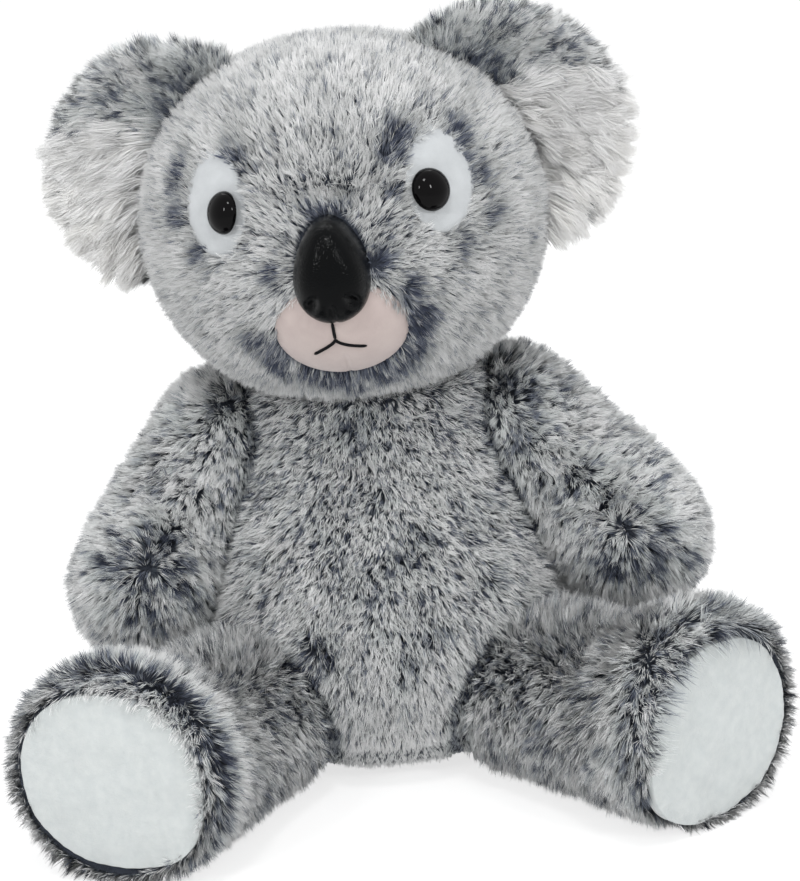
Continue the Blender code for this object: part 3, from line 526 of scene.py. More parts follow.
# %% Lumpy filling
def waves(place, size, seed, count=14):
    """Smooth noise of about the given size, between about -1 and 1."""
    random = np.random.default_rng(seed)
    way = unit(random.normal(size=(count, 3))) * random.uniform(0.6, 1.7, (count, 1)) * (2 * np.pi / size)
    phase = random.uniform(0, 2 * np.pi, count)
    return np.sin(place @ way.T + phase).sum(-1) / math.sqrt(count / 2) * 0.7


def stirred(place, size, seed):
    """A smooth random arrow for each place."""
    return points(waves(place, size, seed), waves(place, size, seed + 1), waves(place, size, seed + 2))


for name, (body, form) in skins.items():
    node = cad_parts[name + "_filling"]
    mesh = node.data.copy()
    place = np.array([v.co for v in mesh.vertices])
    middle = place.mean(0)
    lumps = 0.955 + 0.02 * waves(place, 14 * MM, 5)
    mesh.vertices.foreach_set("co", (middle + (place - middle) * lumps[:, None]).ravel())
    mesh.materials.clear()
    mesh.materials.append(fibre)
    lump = bpy.data.objects.new(name + "_fibre", mesh)
    bpy.context.scene.collection.objects.link(lump)
    dress(lump, body, "fibre", name + "_filling")
print("fillings", len(skins))

# %% [markdown]
# ## Fur
# A coat starts as random places on a skin. Each strand leaves its root between straight out and straight
# along the combed direction, and bends over. Strands near each other lean together into tufts, and between
# the tufts the dark roots show: that is what makes frosted plush look speckled. Where the nap parts, such
# as round the eyes or at the middle of a whorl, all strands lean away, so a dark spot shows without any
# paint. All strands of a coat are worked out at once as arrays, because a loop over single strands would
# take minutes.

# %% Places on a form
def scatter(form, count, seed, inset=ROOT_IN, out=None, span=(0.0, 1.0)):
    """Even random roots on a form: their places, the way out, and the row and turn of each."""
    random = np.random.default_rng(seed)
    r, c = np.linspace(*span, 90), np.linspace(0, 1, 121)
    row, turn = np.meshgrid(r, c, indexing="ij")
    place = form(row, turn, inset)
    along = place[1:, :-1] - place[:-1, :-1]
    round_ = place[:-1, 1:] - place[:-1, :-1]
    area = np.linalg.norm(np.cross(along, round_), axis=-1)
    pick = random.choice(area.size, count, p=area.ravel() / area.sum())
    i, j = np.divmod(pick, area.shape[1])
    row = r[i] + random.random(count) * (r[1] - r[0])
    turn = c[j] + random.random(count) / 120
    place = form(row, turn, inset)
    e = 2e-3
    low, high = np.maximum(row - e, span[0]), np.minimum(row + e, span[1])
    across = form(row, turn + e, inset) - form(row, turn - e, inset)
    way = unit(np.cross(across, form(high, turn, inset) - form(low, turn, inset)))
    towards = place - form(row, turn + 0.5, inset) if out is None else np.broadcast_to(out, place.shape)
    way *= np.where((way * towards).sum(-1, keepdims=True) < 0, -1, 1)
    return {"place": place, "out": way, "row": row, "turn": turn}


def kept(roots, mask):
    """Only the roots that a mask names."""
    return {key: value[mask] for key, value in roots.items()}


def nearest(place, centres):
    """The number of the nearest centre for each place."""
    tree = kdtree.KDTree(len(centres))
    for i, centre in enumerate(centres):
        tree.insert(centre, i)
    tree.balance()
    return np.array([tree.find(p)[1] for p in place])


def roots_area(place):
    """A rough area for a cloud of roots, from how many 4 mm cells they touch."""
    cells = np.unique(np.floor(place / (4 * MM)).astype(int), axis=0)
    return len(cells) * (4 * MM) ** 2 * 0.62


tried = scatter(body_form, 20000, 1)["place"]
print("the body's roots cover", round(roots_area(tried) * 1e4), "square cm")

# %% Grow a coat
STRAND_STEPS = np.array([0.0, 0.5, 1.0])
STRANDS_MOST = 66000  # in one mesh: the library's files hold 200,000 triangles


def coat(name, body, slot, material, roots, comb, length, lift, tone, seed, sections,
         width=0.24 * MM, tuft=1.4 * MM, clump=0.2, wild=0.12, droop=0.06, curl=0.0, bend=0.75):
    """Grows a coat, one mesh a section. comb, length, lift and tone are per strand.

    tuft is how far apart tufts are, clump how far they gather, wild how much they sway, droop how they sag,
    curl how wavy they are, and bend how upright the tips stay.
    """
    random = np.random.default_rng(seed)
    place, out = roots["place"], roots["out"]
    count = len(place)
    comb = unit(comb - (comb * out).sum(-1, keepdims=True) * out)
    picks = random.choice(count, max(8, int(roots_area(place) / (tuft * tuft))), replace=False)
    near = nearest(place, place[picks])
    sway = random.normal(size=(len(picks), 3))[near] * wild + random.normal(size=(count, 3)) * wild * 0.4
    lying, clump = lift * bend, np.broadcast_to(clump, count)[:, None]
    start = unit(out * lift[:, None] + comb * (1 - lift)[:, None] + sway)
    end = unit(out * lying[:, None] + comb * (1 - lying)[:, None] + sway * 1.3 + np.array([0, 0, -droop]))
    length = length * random.uniform(0.86, 1.1, count) * (1 + 0.07 * random.normal(size=len(picks)))[near]
    gather = place[picks][near] - place
    side = unit(np.cross(start, out) + 1e-6)
    roll = random.normal(size=count) * 0.6
    across = side * np.cos(roll)[:, None] + unit(np.cross(side, start)) * np.sin(roll)[:, None]
    wave = random.uniform(0, 2 * np.pi, len(picks))[near]
    verts = np.empty((count, 5, 3))
    for k, (t, wide) in enumerate(zip(STRAND_STEPS, (1.0, 0.9, 0.0))):
        arc = start * t + (end - start) * (t * t / 2)
        point = place + length[:, None] * arc + gather * (clump * t**1.3)
        point = point + side * (np.sin(wave + 5.5 * t) * curl * length * t)[:, None]
        point[:, 2] = np.maximum(point[:, 2], 0.3 * MM)
        if wide:
            verts[:, 2 * k] = point - across * (wide * width / 2)
            verts[:, 2 * k + 1] = point + across * (wide * width / 2)
    verts[:, 4] = point
    tone = np.clip(tone, 0.01, 0.99)
    for part, mask in sections.items():
        chosen = np.flatnonzero(mask)[:STRANDS_MOST]
        ribbons(f"{name}_{part}", body, slot, material, verts[chosen], tone[chosen], out[chosen])


def ribbons(name, body, slot, material, verts, tone, out):
    """One mesh of flat strands: a quad and a pointed end each, with the map of tone and way."""
    count = len(verts)
    pattern = np.array([0, 1, 3, 2, 2, 3, 4])
    mesh = bpy.data.meshes.new(name)
    mesh.vertices.add(count * 5)
    mesh.vertices.foreach_set("co", verts.astype(np.float32).ravel())
    mesh.loops.add(count * 7)
    mesh.loops.foreach_set("vertex_index", (np.arange(count)[:, None] * 5 + pattern).astype(np.int32).ravel())
    mesh.polygons.add(count * 2)
    starts = np.arange(count)[:, None] * 7 + np.array([0, 4])
    mesh.polygons.foreach_set("loop_start", starts.astype(np.int32).ravel())
    mesh.update(calc_edges=True)
    uv = np.empty((count, 7, 2), np.float32)
    uv[..., 0] = tone[:, None] + (np.array([-1, 1, -1, 1, 0]) * 0.004)[pattern]
    uv[..., 1] = np.array([0.004, 0.004, 0.5, 0.5, 0.996])[pattern]
    mesh.uv_layers.new(name="OFBake").data.foreach_set("uv", uv.ravel())
    nap = mesh.attributes.new("nap", "FLOAT_VECTOR", "POINT")
    nap.data.foreach_set("vector", np.repeat(out, 5, axis=0).astype(np.float32).ravel())
    mesh.materials.append(material)
    mesh.shade_smooth()
    made = bpy.data.objects.new(name, mesh)
    bpy.context.scene.collection.objects.link(made)
    dress(made, body, slot)
    print(name, count, "strands")


# %% [markdown]
# ## Marks in the pile
# A parting is a place from which the pile lies away on all sides, so its dark roots show. Each mark here is
# a place, how far it reaches, how much it darkens, and how strongly it combs the pile away. Places and
# reaches are in millimetres. A whorl is a parting with a pale middle, as where pile was pressed down in a
# paw: dark streaks run out from a ring round it. Where two skins meet, the pile is pressed shorter and
# painted darker along a narrow crease, as painted shade between the parts; the tone falls with the gap to
# the neighbour's form. No mark is darkened evenly: each tuft takes its own share.

# %% Marks
def marks_on(place, table):
    """The darkening and the push that a table of marks gives at each place."""
    dark, push = np.zeros(len(place)), np.zeros((len(place), 3))
    for x, y, z, reach, depth, away in table:
        gap = place - np.array((x, y, z)) * MM
        near = np.exp(-((gap / (reach * MM)) ** 2).sum(-1))
        dark += depth * near
        push += unit(gap) * (away * np.exp(-((gap / (2.2 * reach * MM)) ** 2).sum(-1)))[:, None]
    return dark, push


def whorl(place, centre, ring, reach, depth, below=0.0):
    """Dark streaks in a ring round a pale middle, and the pile combed away from it.

    below is how much of the ring's upper half is left out.
    """
    gap = place - np.array(centre) * MM
    far = np.linalg.norm(gap, axis=-1) / MM
    streaks = np.clip(0.6 + 1.3 * waves(unit(gap) * 10 * MM, 4.5 * MM, int(ring * 10)), 0.0, 1.5)
    side = 1 - below * smoothstep(-2 * MM, 4 * MM, gap[:, 2])
    dark = depth * np.exp(-(((far - ring) / reach) ** 2)) * streaks * side
    return dark, unit(gap) * (2.4 * np.exp(-((far / (1.5 * ring + reach)) ** 2)))[:, None]


def to_local(matrix, place):
    """Points seen from a frame."""
    return moved(matrix.inverted(), place)


print("head marks at their strongest", marks_on(np.zeros((1, 3)), [(0, 0, 0, 5, 0.7, 0.8)])[0])

# %% Gaps to the neighbours, and creases
def body_gap(place):
    """About how far places lie outside the body."""
    height = np.clip(place[:, 2], 0, BODY_TALL) / BODY_TALL
    swell = through(BODY_HEIGHTS, BODY_SWELLS, height)
    lean = through(BODY_HEIGHTS, BODY_LEANS, height) * 2 * BODY_HALF_DEEP
    far = np.hypot(place[:, 0] / (BODY_HALF_WIDE * swell), (place[:, 1] - lean) / (BODY_HALF_DEEP * swell))
    return (far - 1) * (BODY_HALF_WIDE + BODY_HALF_DEEP) / 2 * swell


def arm_gap(side, place):
    """About how far places lie outside an arm."""
    q = to_local(ARM_FRAMES[side], place)
    return np.hypot(q[:, 0], q[:, 1]) - limb_radius(-q[:, 2], ARM, ARM_ROWS, ARM_SWELLS)


def leg_gap(side, place):
    """About how far places lie outside a leg."""
    q = to_local(LEG_FRAMES[side], place)
    radius = limb_radius(-q[:, 1], LEG, LEG_ROWS, LEG_SWELLS)
    return np.hypot(q[:, 0], q[:, 2] - np.maximum(radius - LEG["ball"], 0)) - radius


def crease_press_and_shade(gap):
    """1 along the line where two skins meet, fading to 0 on both sides: there the pile is shorter and painted
    darker as shade.
    """
    return np.exp(-((gap / np.where(gap > 0, 2.1 * MM, 3.5 * MM)) ** 2))


print("crease at 0, 2 and 5 mm outside", crease_press_and_shade(np.array((0, 2, 5)) * MM).round(2))

# %% Roots that nobody sees
def in_head(place, margin):
    """Whether places lie inside the head by more than a margin."""
    q = to_local(NECK, place)
    tall = np.clip((HEAD_HALF[2] - q[:, 2]) / (HEAD_HALF[2] - margin), -1, 1)
    full = np.maximum(np.sqrt(1 - tall**2), 1e-3) ** 0.9
    wide = np.maximum(HEAD_HALF[0] * full - margin, 1e-4)
    deep = np.maximum(HEAD_HALF[1] * full - margin, 1e-4)
    return (q[:, 0] / wide) ** 2 + (q[:, 1] / deep) ** 2 < 1


def in_ball(place, centre, radius):
    """Whether places lie in a ball."""
    return np.linalg.norm(place - np.array(centre), axis=-1) < radius


def in_oval(matrix, place, half_width, half_tall):
    """Whether places lie in front of an oval in a face frame."""
    q = to_local(matrix, place)
    return ((q[:, 0] / half_width) ** 2 + (q[:, 2] / half_tall) ** 2 < 1) & (np.abs(q[:, 1]) < 15 * MM)


print("the neck is in the head:", in_head(np.array([[0.0, 0.0, 0.14]]), 3 * MM)[0])

# %% Tone
def toned(place, base, dark, seed, fleck, often, rough=0.06, deep=0.75):
    """Tone per strand: a base, slow clouds, small dark flecks where the pile gapes, and the marks.

    fleck is a fleck's size, often the share of gaping places, deep how dark they get, rough their grain.
    """
    random = np.random.default_rng(seed)
    tone = base + 0.07 * waves(place, 16 * MM, seed) + 0.05 * waves(place, 5 * MM, seed + 1)
    picks = random.choice(len(place), int(roots_area(place) / fleck**2), replace=False)
    cells = place[picks]
    near = nearest(place, cells)
    often = np.broadcast_to(often, len(place))[picks]
    chance = often * (1 + 0.6 * waves(cells, 13 * MM, seed + 2))
    gaping = (random.random(len(cells)) < chance) * random.uniform(0.25, deep, len(cells))
    streaks = random.uniform(0.25, 1.5, len(cells))[near]
    return tone - np.maximum(dark * streaks, gaping[near]) + random.normal(size=len(place)) * rough


tried = scatter(body_form, 2000, 2)["place"]
print("mean tone of a plain coat", toned(tried, 0.9, 0.0, 2, 3 * MM, 0.2).mean().round(2))

# %% [markdown]
# ## Fur on the head
# The pile starts at the nose and lies away from it on all sides, so it runs up the forehead, out over the
# cheeks and down under the chin. Behind the ears it turns downwards. Dark partings frame the felt rounds,
# and the pile is darker in a band just below the muzzle. The head's pile is the shortest
# and the most brushed, and shortest of all on the snout.

# %% Grow the head's fur
PATCHES = {side: NECK @ face_frame(sign * 31 * MM, 68 * MM, sign * math.radians(12))
           for side, sign in SIDES.items()}
NOSE_FRAME = NECK @ Matrix.Translation(Vector(face(0.0, 50.7 * MM)))
MUZZLE_FRAME = NECK @ Matrix.Translation(Vector(face(0.0, 32.5 * MM)))
HEAD_MARKS = [
    (-26.5, -38, 82, 5.0, 0.65, 0.9), (-24, -40, 77, 3.6, 0.5, 0.6), (-41.5, -27, 80, 3.8, 0.7, 0.8),
    (-43.8, -28, 74, 4.0, 0.7, 0.8), (-43.8, -32, 65, 4.0, 0.7, 0.8), (-38.5, -39, 55, 4.4, 0.7, 0.8),
    (-17.5, -53, 50, 3.4, 0.7, 0.8), (-5, -49, 67, 2.6, 0.6, 0.6), (-1, -49.5, 66, 2.6, 0.6, 0.6),
    (3.5, -49, 66.5, 2.6, 0.6, 0.6), (6, -48, 71, 2.4, 0.6, 0.6), (12.5, -55, 50.5, 4.0, 0.7, 0.8),
    (17, -53, 52.5, 3.0, 0.5, 0.6),
    (21, -50, 42, 4.2, 0.7, 0.8), (23, -47, 34, 4.4, 0.7, 0.8), (22.5, -38.5, 84, 4.6, 0.7, 0.8),
    (20, -43, 78, 4.0, 0.7, 0.8), (19, -47, 69, 3.4, 0.6, 0.6), (38, -30, 80, 4.4, 0.7, 0.8),
    (39, -33.5, 74, 3.4, 0.7, 0.8), (42.5, -33, 67.5, 3.6, 0.7, 0.8), (45, -33, 56.5, 4.0, 0.7, 0.8),
    (37, -40, 51, 4.6, 0.55, 0.8), (-30, -42, 27, 5.0, 0.5, 0.6), (-12, -50, 58, 3.0, 0.4, 0.4),
]


def quarters(q):
    """Front and back, left and right: a coat is cut into pieces as a maker would cut its panels."""
    front, left = q[:, 1] < 0, q[:, 0] > 0
    return {"front_left": front & left, "front_right": front & ~left, "back_left": ~front & left,
            "back_right": ~front & ~left}


def head_fur(count, seed):
    """The head's coat, with no roots under muzzle, nose and felt rounds."""
    roots = scatter(head_form, int(count * 1.12), seed)
    q = to_local(NECK, roots["place"])
    hidden = (np.hypot(q[:, 0], q[:, 1]) < 20 * MM) & (q[:, 2] < 30 * MM)
    hidden |= in_oval(MUZZLE_FRAME, roots["place"], 17.6 * MM, 13.6 * MM) & (q[:, 1] < 0)
    hidden |= in_oval(NOSE_FRAME, roots["place"], 9.6 * MM, 13.2 * MM) & (q[:, 1] < 0)
    for frame_ in PATCHES.values():
        hidden |= in_oval(frame_, roots["place"], 9.5 * MM, 13.6 * MM)
    roots = kept(roots, ~hidden)
    q = q[~hidden]
    away = q - np.array((0, -40, 47)) * MM
    dark, push = marks_on(q + 2 * MM * unit(away), HEAD_MARKS)
    beyond = 16 * (np.hypot(q[:, 0] / (18.5 * MM), (q[:, 2] - 32.5 * MM) / (14.5 * MM)) - 1)  # mm off it
    # The pile is darker in a band just below the muzzle's lower edge.
    below = smoothstep(38 * MM, 26 * MM, q[:, 2]) * (q[:, 1] < 0)
    dark = dark + 0.62 * below * smoothstep(8.5, 4.5, beyond) * (0.8 + 0.4 * waves(q, 9 * MM, 35))
    dark = np.clip(1.3 * dark, 0, 0.8)
    back = smoothstep(0, 30 * MM, q[:, 1])[:, None]
    comb = unit(away) * (1 - back) + np.array((0, 0.3, -1)) * back
    comb = comb + 0.14 * stirred(q, 14 * MM, 31) + 0.5 * push
    comb = moved(NECK.to_3x3().to_4x4(), comb)
    snout = np.exp(-((q - np.array((0, -55, 42)) * MM) ** 2).sum(-1) / (26 * MM) ** 2) * (q[:, 1] < 0)
    length = (4.7 - 1.4 * snout) * MM
    lift = np.clip(0.66 - 0.05 * snout + 0.05 * waves(q, 8 * MM, 34) + 0.10 * dark, 0.15, 1.0)
    tone = toned(q, 0.86, dark, seed, 0.8 * MM, 0.15, 0.05, 0.55)
    coat("head_fur", "head", "grey_plush", brushed_plush, roots, comb, length, lift, tone, seed, quarters(q),
         width=0.22 * MM, tuft=0.95 * MM, clump=0.34, wild=0.13, bend=0.85)


head_fur(215000, 101)

# %% [markdown]
# ## Fur on the body
# The body's pile runs down and a little outwards. Handling has ruffled it into tufts, so it stands up more
# than on the head and more dark root shows. Low on the belly it lies smooth, and the fold over the seat is
# pale and short. One whorl sits at the side of the belly. The crease to arms and legs, painted darker as
# shade, follows their lines as they lie at rest.

# %% Grow the body's fur
BODY_MARKS = [
    (-4.8, -35, 109, 6, 0.6, 0.3), (1.7, -41.4, 88, 3.4, 0.8, 1.0), (14.4, -43.8, 76, 3.6, 0.8, 1.0),
    (2, -48, 69, 3.4, 0.8, 0.9), (8, -46, 72, 3.0, 0.5, 0.7), (16, -50, 49, 3.4, 0.8, 1.0),
    (-1, -51.7, 50.3, 3.2, 0.7, 0.9), (6, -51.7, 41.8, 2.8, 0.8, 0.7), (5, -51.3, 34.2, 2.6, 0.8, 0.7),
    (4, -49.7, 25.4, 2.4, 0.7, 0.7), (-34, -36, 70, 4, 0.5, 1.0), (30, -38, 60, 4, 0.5, 1.0),
    (-14, -44, 78, 3.6, 0.5, 1.0),
]


BODY_WHORL = ((-21.7, -48, 45.3), 4.2, 3.2, 0.95)


def body_fur(count, seed):
    """The body's coat, with no roots in the head, under the seat, or in the sewn shoulders and hips."""
    roots = scatter(body_form, int(count * 1.35), seed)
    p = roots["place"]
    hidden = in_head(p, 3 * MM) | (p[:, 2] < 5 * MM) | (np.hypot(p[:, 0], p[:, 1]) < 20 * MM)
    for side in SIDES:
        hidden |= in_ball(p, ARM_FRAMES[side].translation, 17 * MM)
        hidden |= in_ball(p, LEG_FRAMES[side].translation, 21 * MM)
    roots = kept(roots, ~hidden)
    p = roots["place"]
    dark, push = marks_on(p - np.array((0, 0, 2 * MM)), BODY_MARKS)
    ring_dark, ring_push = whorl(p, *BODY_WHORL)
    dark, push = np.clip(1.2 * dark + ring_dark, 0, 0.8), push + ring_push
    comb = unit(points(p[:, 0] / (90 * MM), 0.15 * waves(p, 22 * MM, 41), -1.0))
    comb = comb + 0.22 * stirred(p, 16 * MM, 42) + 0.7 * push
    fold = smoothstep(19 * MM, 13 * MM, p[:, 2])
    lift = np.clip(0.70 + 0.08 * waves(p, 9 * MM, 45) + 0.10 * dark - 0.4 * fold, 0.2, 1.0)
    smooth = smoothstep(44 * MM, 24 * MM, p[:, 2]) * (p[:, 1] < 0)
    press_and_shade = np.max([crease_press_and_shade(gap(side, p)) for gap in (arm_gap, leg_gap) for side in SIDES], axis=0)
    tone = toned(p, 0.91, dark * (1 - fold), seed, 0.85 * MM, 0.27 - 0.16 * smooth, deep=0.95) + 0.10 * smooth
    # The crease to arms and legs is painted darker: painted shade where the parts meet.
    tone = tone + (0.93 - tone) * fold - 0.55 * press_and_shade
    length = (5.6 - 2.6 * fold) * (1 - 0.5 * press_and_shade) * MM
    coat("body_fur", "torso", "grey_plush", frosted_plush, roots, comb, length, lift, tone, seed, quarters(p),
         tuft=0.8 * MM, clump=0.52 - 0.4 * fold, wild=0.15, bend=0.85)


body_fur(190000, 111)

# %% [markdown]
# ## Fur on the arms and legs
# The pile runs along each limb to its end, and stands up at the paw's end, where no way leads on. A whorl
# sits on each paw. Roots inside the body are left out only where no pose of the arm brings them out.
#
# At the foot the skin is gathered to the sole, and the seam pulls a dark ring open round it: the outermost
# tufts lean over the sole's edge, and those behind stand away from it. On the toy's left foot longer pile
# hangs over the sole's upper edge. Below both soles the tufts lie outwards like a ruff, because the foot's
# weight spreads them.

# %% Grow the arms' fur
ARM_MARKS = {
    "left": [(46, -20, 112, 5, 0.6, 0.6), (46, -25, 103, 5, 0.6, 0.6), (44, -27, 96, 4, 0.6, 0.6),
             (64, -31, 88, 4, 0.5, 1.2), (58, -32, 85.5, 3, 0.5, 0.6), (66, -33.5, 81.5, 3, 0.4, 0.6),
             (59, -34, 75.5, 3.6, 0.7, 0.8), (73, -37, 64, 4, 0.5, 0.6), (88, -31, 60, 4, 0.6, 0.6)],
    "right": [(-68, -17, 97, 3.4, 0.7, 1.0), (-46, -20, 112, 5, 0.6, 0.8), (-55.5, -16, 110, 3.6, 0.6, 0.8),
              (-53.6, -21, 106, 3.6, 0.5, 0.8), (-74, -22, 87, 3, 0.5, 0.8)],
}
ARM_WHORLS = {"left": ((72.5, -36.5, 71), 9.0, 4.5, 0.8, 0.75),
              "right": ((-69, -36, 69.7), 8.0, 6.5, 0.9, 0.0)}
ARM_RISE = math.radians(60)


def arm_fur(side, count, seed):
    """An arm's coat, with no roots that stay in body or head whether the arm hangs or is raised."""
    frame_ = ARM_FRAMES[side]
    roots = scatter(arm_form(side), int(count * 1.15), seed)
    p = roots["place"]
    shoulder = Matrix.Translation(frame_.translation)
    raised = shoulder @ Matrix.Rotation(-ARM_RISE * SIDES[side], 4, "Y") @ shoulder.inverted()
    hidden = (body_gap(p) < -3 * MM) & (body_gap(moved(raised, p)) < -3 * MM)
    roots = kept(roots, ~(hidden | in_head(p, 5 * MM)))
    p = roots["place"]
    q = to_local(frame_, p)
    along = np.array(frame_.to_3x3() @ Vector((0, 0, -1)))
    dark, push = marks_on(p + 2 * MM * along, ARM_MARKS[side])
    ring_dark, ring_push = whorl(p, *ARM_WHORLS[side])
    dark, push = np.clip(1.1 * dark + ring_dark, 0, 0.8), push + ring_push
    comb = along + 0.22 * stirred(p, 18 * MM, 51) + push
    tip = smoothstep(46 * MM, 66 * MM, -q[:, 2])
    comb = comb + tip[:, None] * np.array((0, 0.2, -0.6))
    flat = comb - (comb * roots["out"]).sum(-1, keepdims=True) * roots["out"]
    stands = 1 - np.clip(np.linalg.norm(flat, axis=-1) / 0.8, 0, 1)
    lift = np.clip(0.66 + 0.08 * waves(p, 9 * MM, 54) + 0.10 * dark + 0.32 * stands, 0.2, 1.0)
    press_and_shade = crease_press_and_shade(body_gap(p))
    # Along the crease to the body the arm's pile is painted darker: painted shade where the parts meet.
    tone = toned(p, 0.90, dark, seed, 1.0 * MM, 0.21, deep=0.9) - 0.4 * press_and_shade
    length = (6.4 - 2.8 * press_and_shade) * MM
    coat(side + "_arm_fur", side + "_arm", "grey_plush", frosted_plush, roots, comb, length, lift, tone, seed,
         {"front": q[:, 1] < 0, "back": q[:, 1] >= 0}, tuft=1.2 * MM, clump=0.42, wild=0.14, bend=0.85)


for n, side in enumerate(SIDES):
    arm_fur(side, 96000, 121 + n)

# %% The sole's outline and the legs' marks
SOLE_HALF = (27 * MM, 25.5 * MM)
SOLE_SHIFTS = {"left": (-1.0 * MM, -1.0 * MM), "right": (1.0 * MM, 1.4 * MM)}
SOLE_CORNERS = {"left": math.radians(-135), "right": math.radians(-45)}  # where the sole is cut fullest
RINGS = {"left": 0.5, "right": 0.8}  # how dark the ring round the sole is
APART = {"left": 0.6, "right": 1.5}  # how far the pile behind the ring leans away from it
LEG_MARKS = {
    "left": [(58, -94.6, 30.5, 3.2, 0.6, 0.5), (60, -95.5, 22.3, 3.2, 0.6, 0.5),
             (67, -102.7, 40.5, 3.0, 0.4, 0.0), (50.4, -53.7, 48, 3, 0.5, 0.5),
             (59.4, -79.6, 49.2, 2.4, 0.4, 0.4), (43.2, -66.6, 36.4, 2.6, 0.5, 0.5)],
    "right": [(-40.6, -79, 41, 2.6, 0.6, 0.3), (-38.4, -81.4, 34.7, 2.4, 0.6, 0.3),
              (-37.2, -81, 26.8, 2.4, 0.6, 0.3), (-36, -72.6, 15.5, 2.6, 0.6, 0.3),
              (-43, -71, 45, 2.6, 0.6, 0.3), (-30.6, -65.4, 30, 2.6, 0.6, 0.3),
              (-26.2, -55.4, 34.4, 2.6, 0.6, 0.3)],
}


def sole_outline(side, a):
    """How far the sole's edge lies out at each turn: an oval, a little square, with one fuller corner."""
    square = (np.abs(np.cos(a)) ** 2.2 + np.abs(np.sin(a)) ** 2.2) ** (-1 / 2.2)
    return square * (1 + 0.06 * np.exp((np.cos(a - SOLE_CORNERS[side]) - 1) / 0.1))


def sole_frame(side):
    """The frame in the middle of a sole, whose -Y points out of it."""
    across, up = SOLE_SHIFTS[side]
    middle = Matrix.Translation((across, -LEG["long"], 0.94 * LEG["fat"] - LEG["ball"] + up))
    return LEG_FRAMES[side] @ middle @ Matrix.Rotation(SIDES[side] * SOLE_TURNS[side], 4, "Z")


for side in SIDES:
    print(side, "sole's middle at", tuple(round(c / MM, 1) for c in sole_frame(side).translation), "mm")

# %% Grow the legs' fur
def leg_fur(side, count, seed):
    """A leg's coat, with the open ring, the long pile and the ruff round its sole."""
    frame_ = LEG_FRAMES[side]
    roots = scatter(leg_form(side), int(count * 1.3), seed)
    p = roots["place"]
    s = to_local(sole_frame(side), p)
    x, z = s[:, 0] / SOLE_HALF[0], s[:, 2] / SOLE_HALF[1]
    over_sole = (np.hypot(x, z) < 0.97 * sole_outline(side, np.arctan2(z, x))) & (s[:, 1] < 8 * MM)
    roots = kept(roots, ~((body_gap(p) < -3 * MM) | over_sole | (p[:, 2] < 1.2 * MM)))
    p = roots["place"]
    s = to_local(sole_frame(side), p)
    rim = smoothstep(0.885, 0.92, roots["row"])
    ring = np.exp(-(((s[:, 1] - 6.2 * MM) / (2.4 * MM)) ** 2)) * (1 - 0.7 * rim)
    behind = smoothstep(4.5 * MM, 7.0 * MM, s[:, 1]) * smoothstep(17 * MM, 11 * MM, s[:, 1])
    along = np.array(frame_.to_3x3() @ Vector((0, -1, 0)))
    down = points(SIDES[side] * 0.35 + 0 * p[:, 0], 0.0, -0.8)
    inwards = unit(np.array(sole_frame(side).translation) - p)
    cover = smoothstep(4 * MM, 18 * MM, 0.9 * s[:, 2] - 0.45 * s[:, 0]) * (side == "left")
    ruff = smoothstep(2 * MM, -10 * MM, 0.8 * s[:, 2] - 0.6 * SIDES[side] * s[:, 0])
    over = 0.35 + 1.2 * cover - 0.7 * ruff
    comb = (0.5 * along + down) * (1 - rim)[:, None] - along * (APART[side] * behind)[:, None]
    comb = comb + (along + over[:, None] * inwards) * rim[:, None]
    marked, push = marks_on(p, LEG_MARKS[side])
    comb = comb + 0.26 * (1 - rim)[:, None] * stirred(p, 18 * MM, 61) + push
    hip = smoothstep(38 * MM, 46 * MM, p[:, 2]) * smoothstep(34 * MM, 50 * MM, s[:, 1])
    lift = np.clip(0.66 + 0.06 * waves(p, 9 * MM, 64) - (0.12 + 0.10 * ruff) * rim + 0.2 * hip, 0.15, 1.0)
    often = 0.36 * (1 - 0.8 * np.maximum(rim, behind))
    press_and_shade = crease_press_and_shade(body_gap(p))
    dark = np.clip(marked + RINGS[side] * ring, 0, 0.85)
    # Along the crease to the body the leg's pile is painted darker: painted shade where the parts meet.
    tone = toned(p, 0.93, dark, seed, 1.0 * MM, often, deep=0.95) + (0.1 - 0.55 * cover) * rim - 0.4 * press_and_shade
    length = (6.2 - 2.0 * rim * (1 - cover) + 3.0 * rim * cover + 2.5 * hip) * (1 - 0.45 * press_and_shade) * MM
    upper = p[:, 2] > 30 * MM
    coat(side + "_leg_fur", side + "_leg", "grey_plush", frosted_plush, roots, comb, length, lift, tone, seed,
         {"upper": upper, "lower": ~upper}, tuft=1.1 * MM, clump=0.42, wild=0.14, bend=0.85)


for n, side in enumerate(SIDES):
    leg_fur(side, 98000, 131 + n)
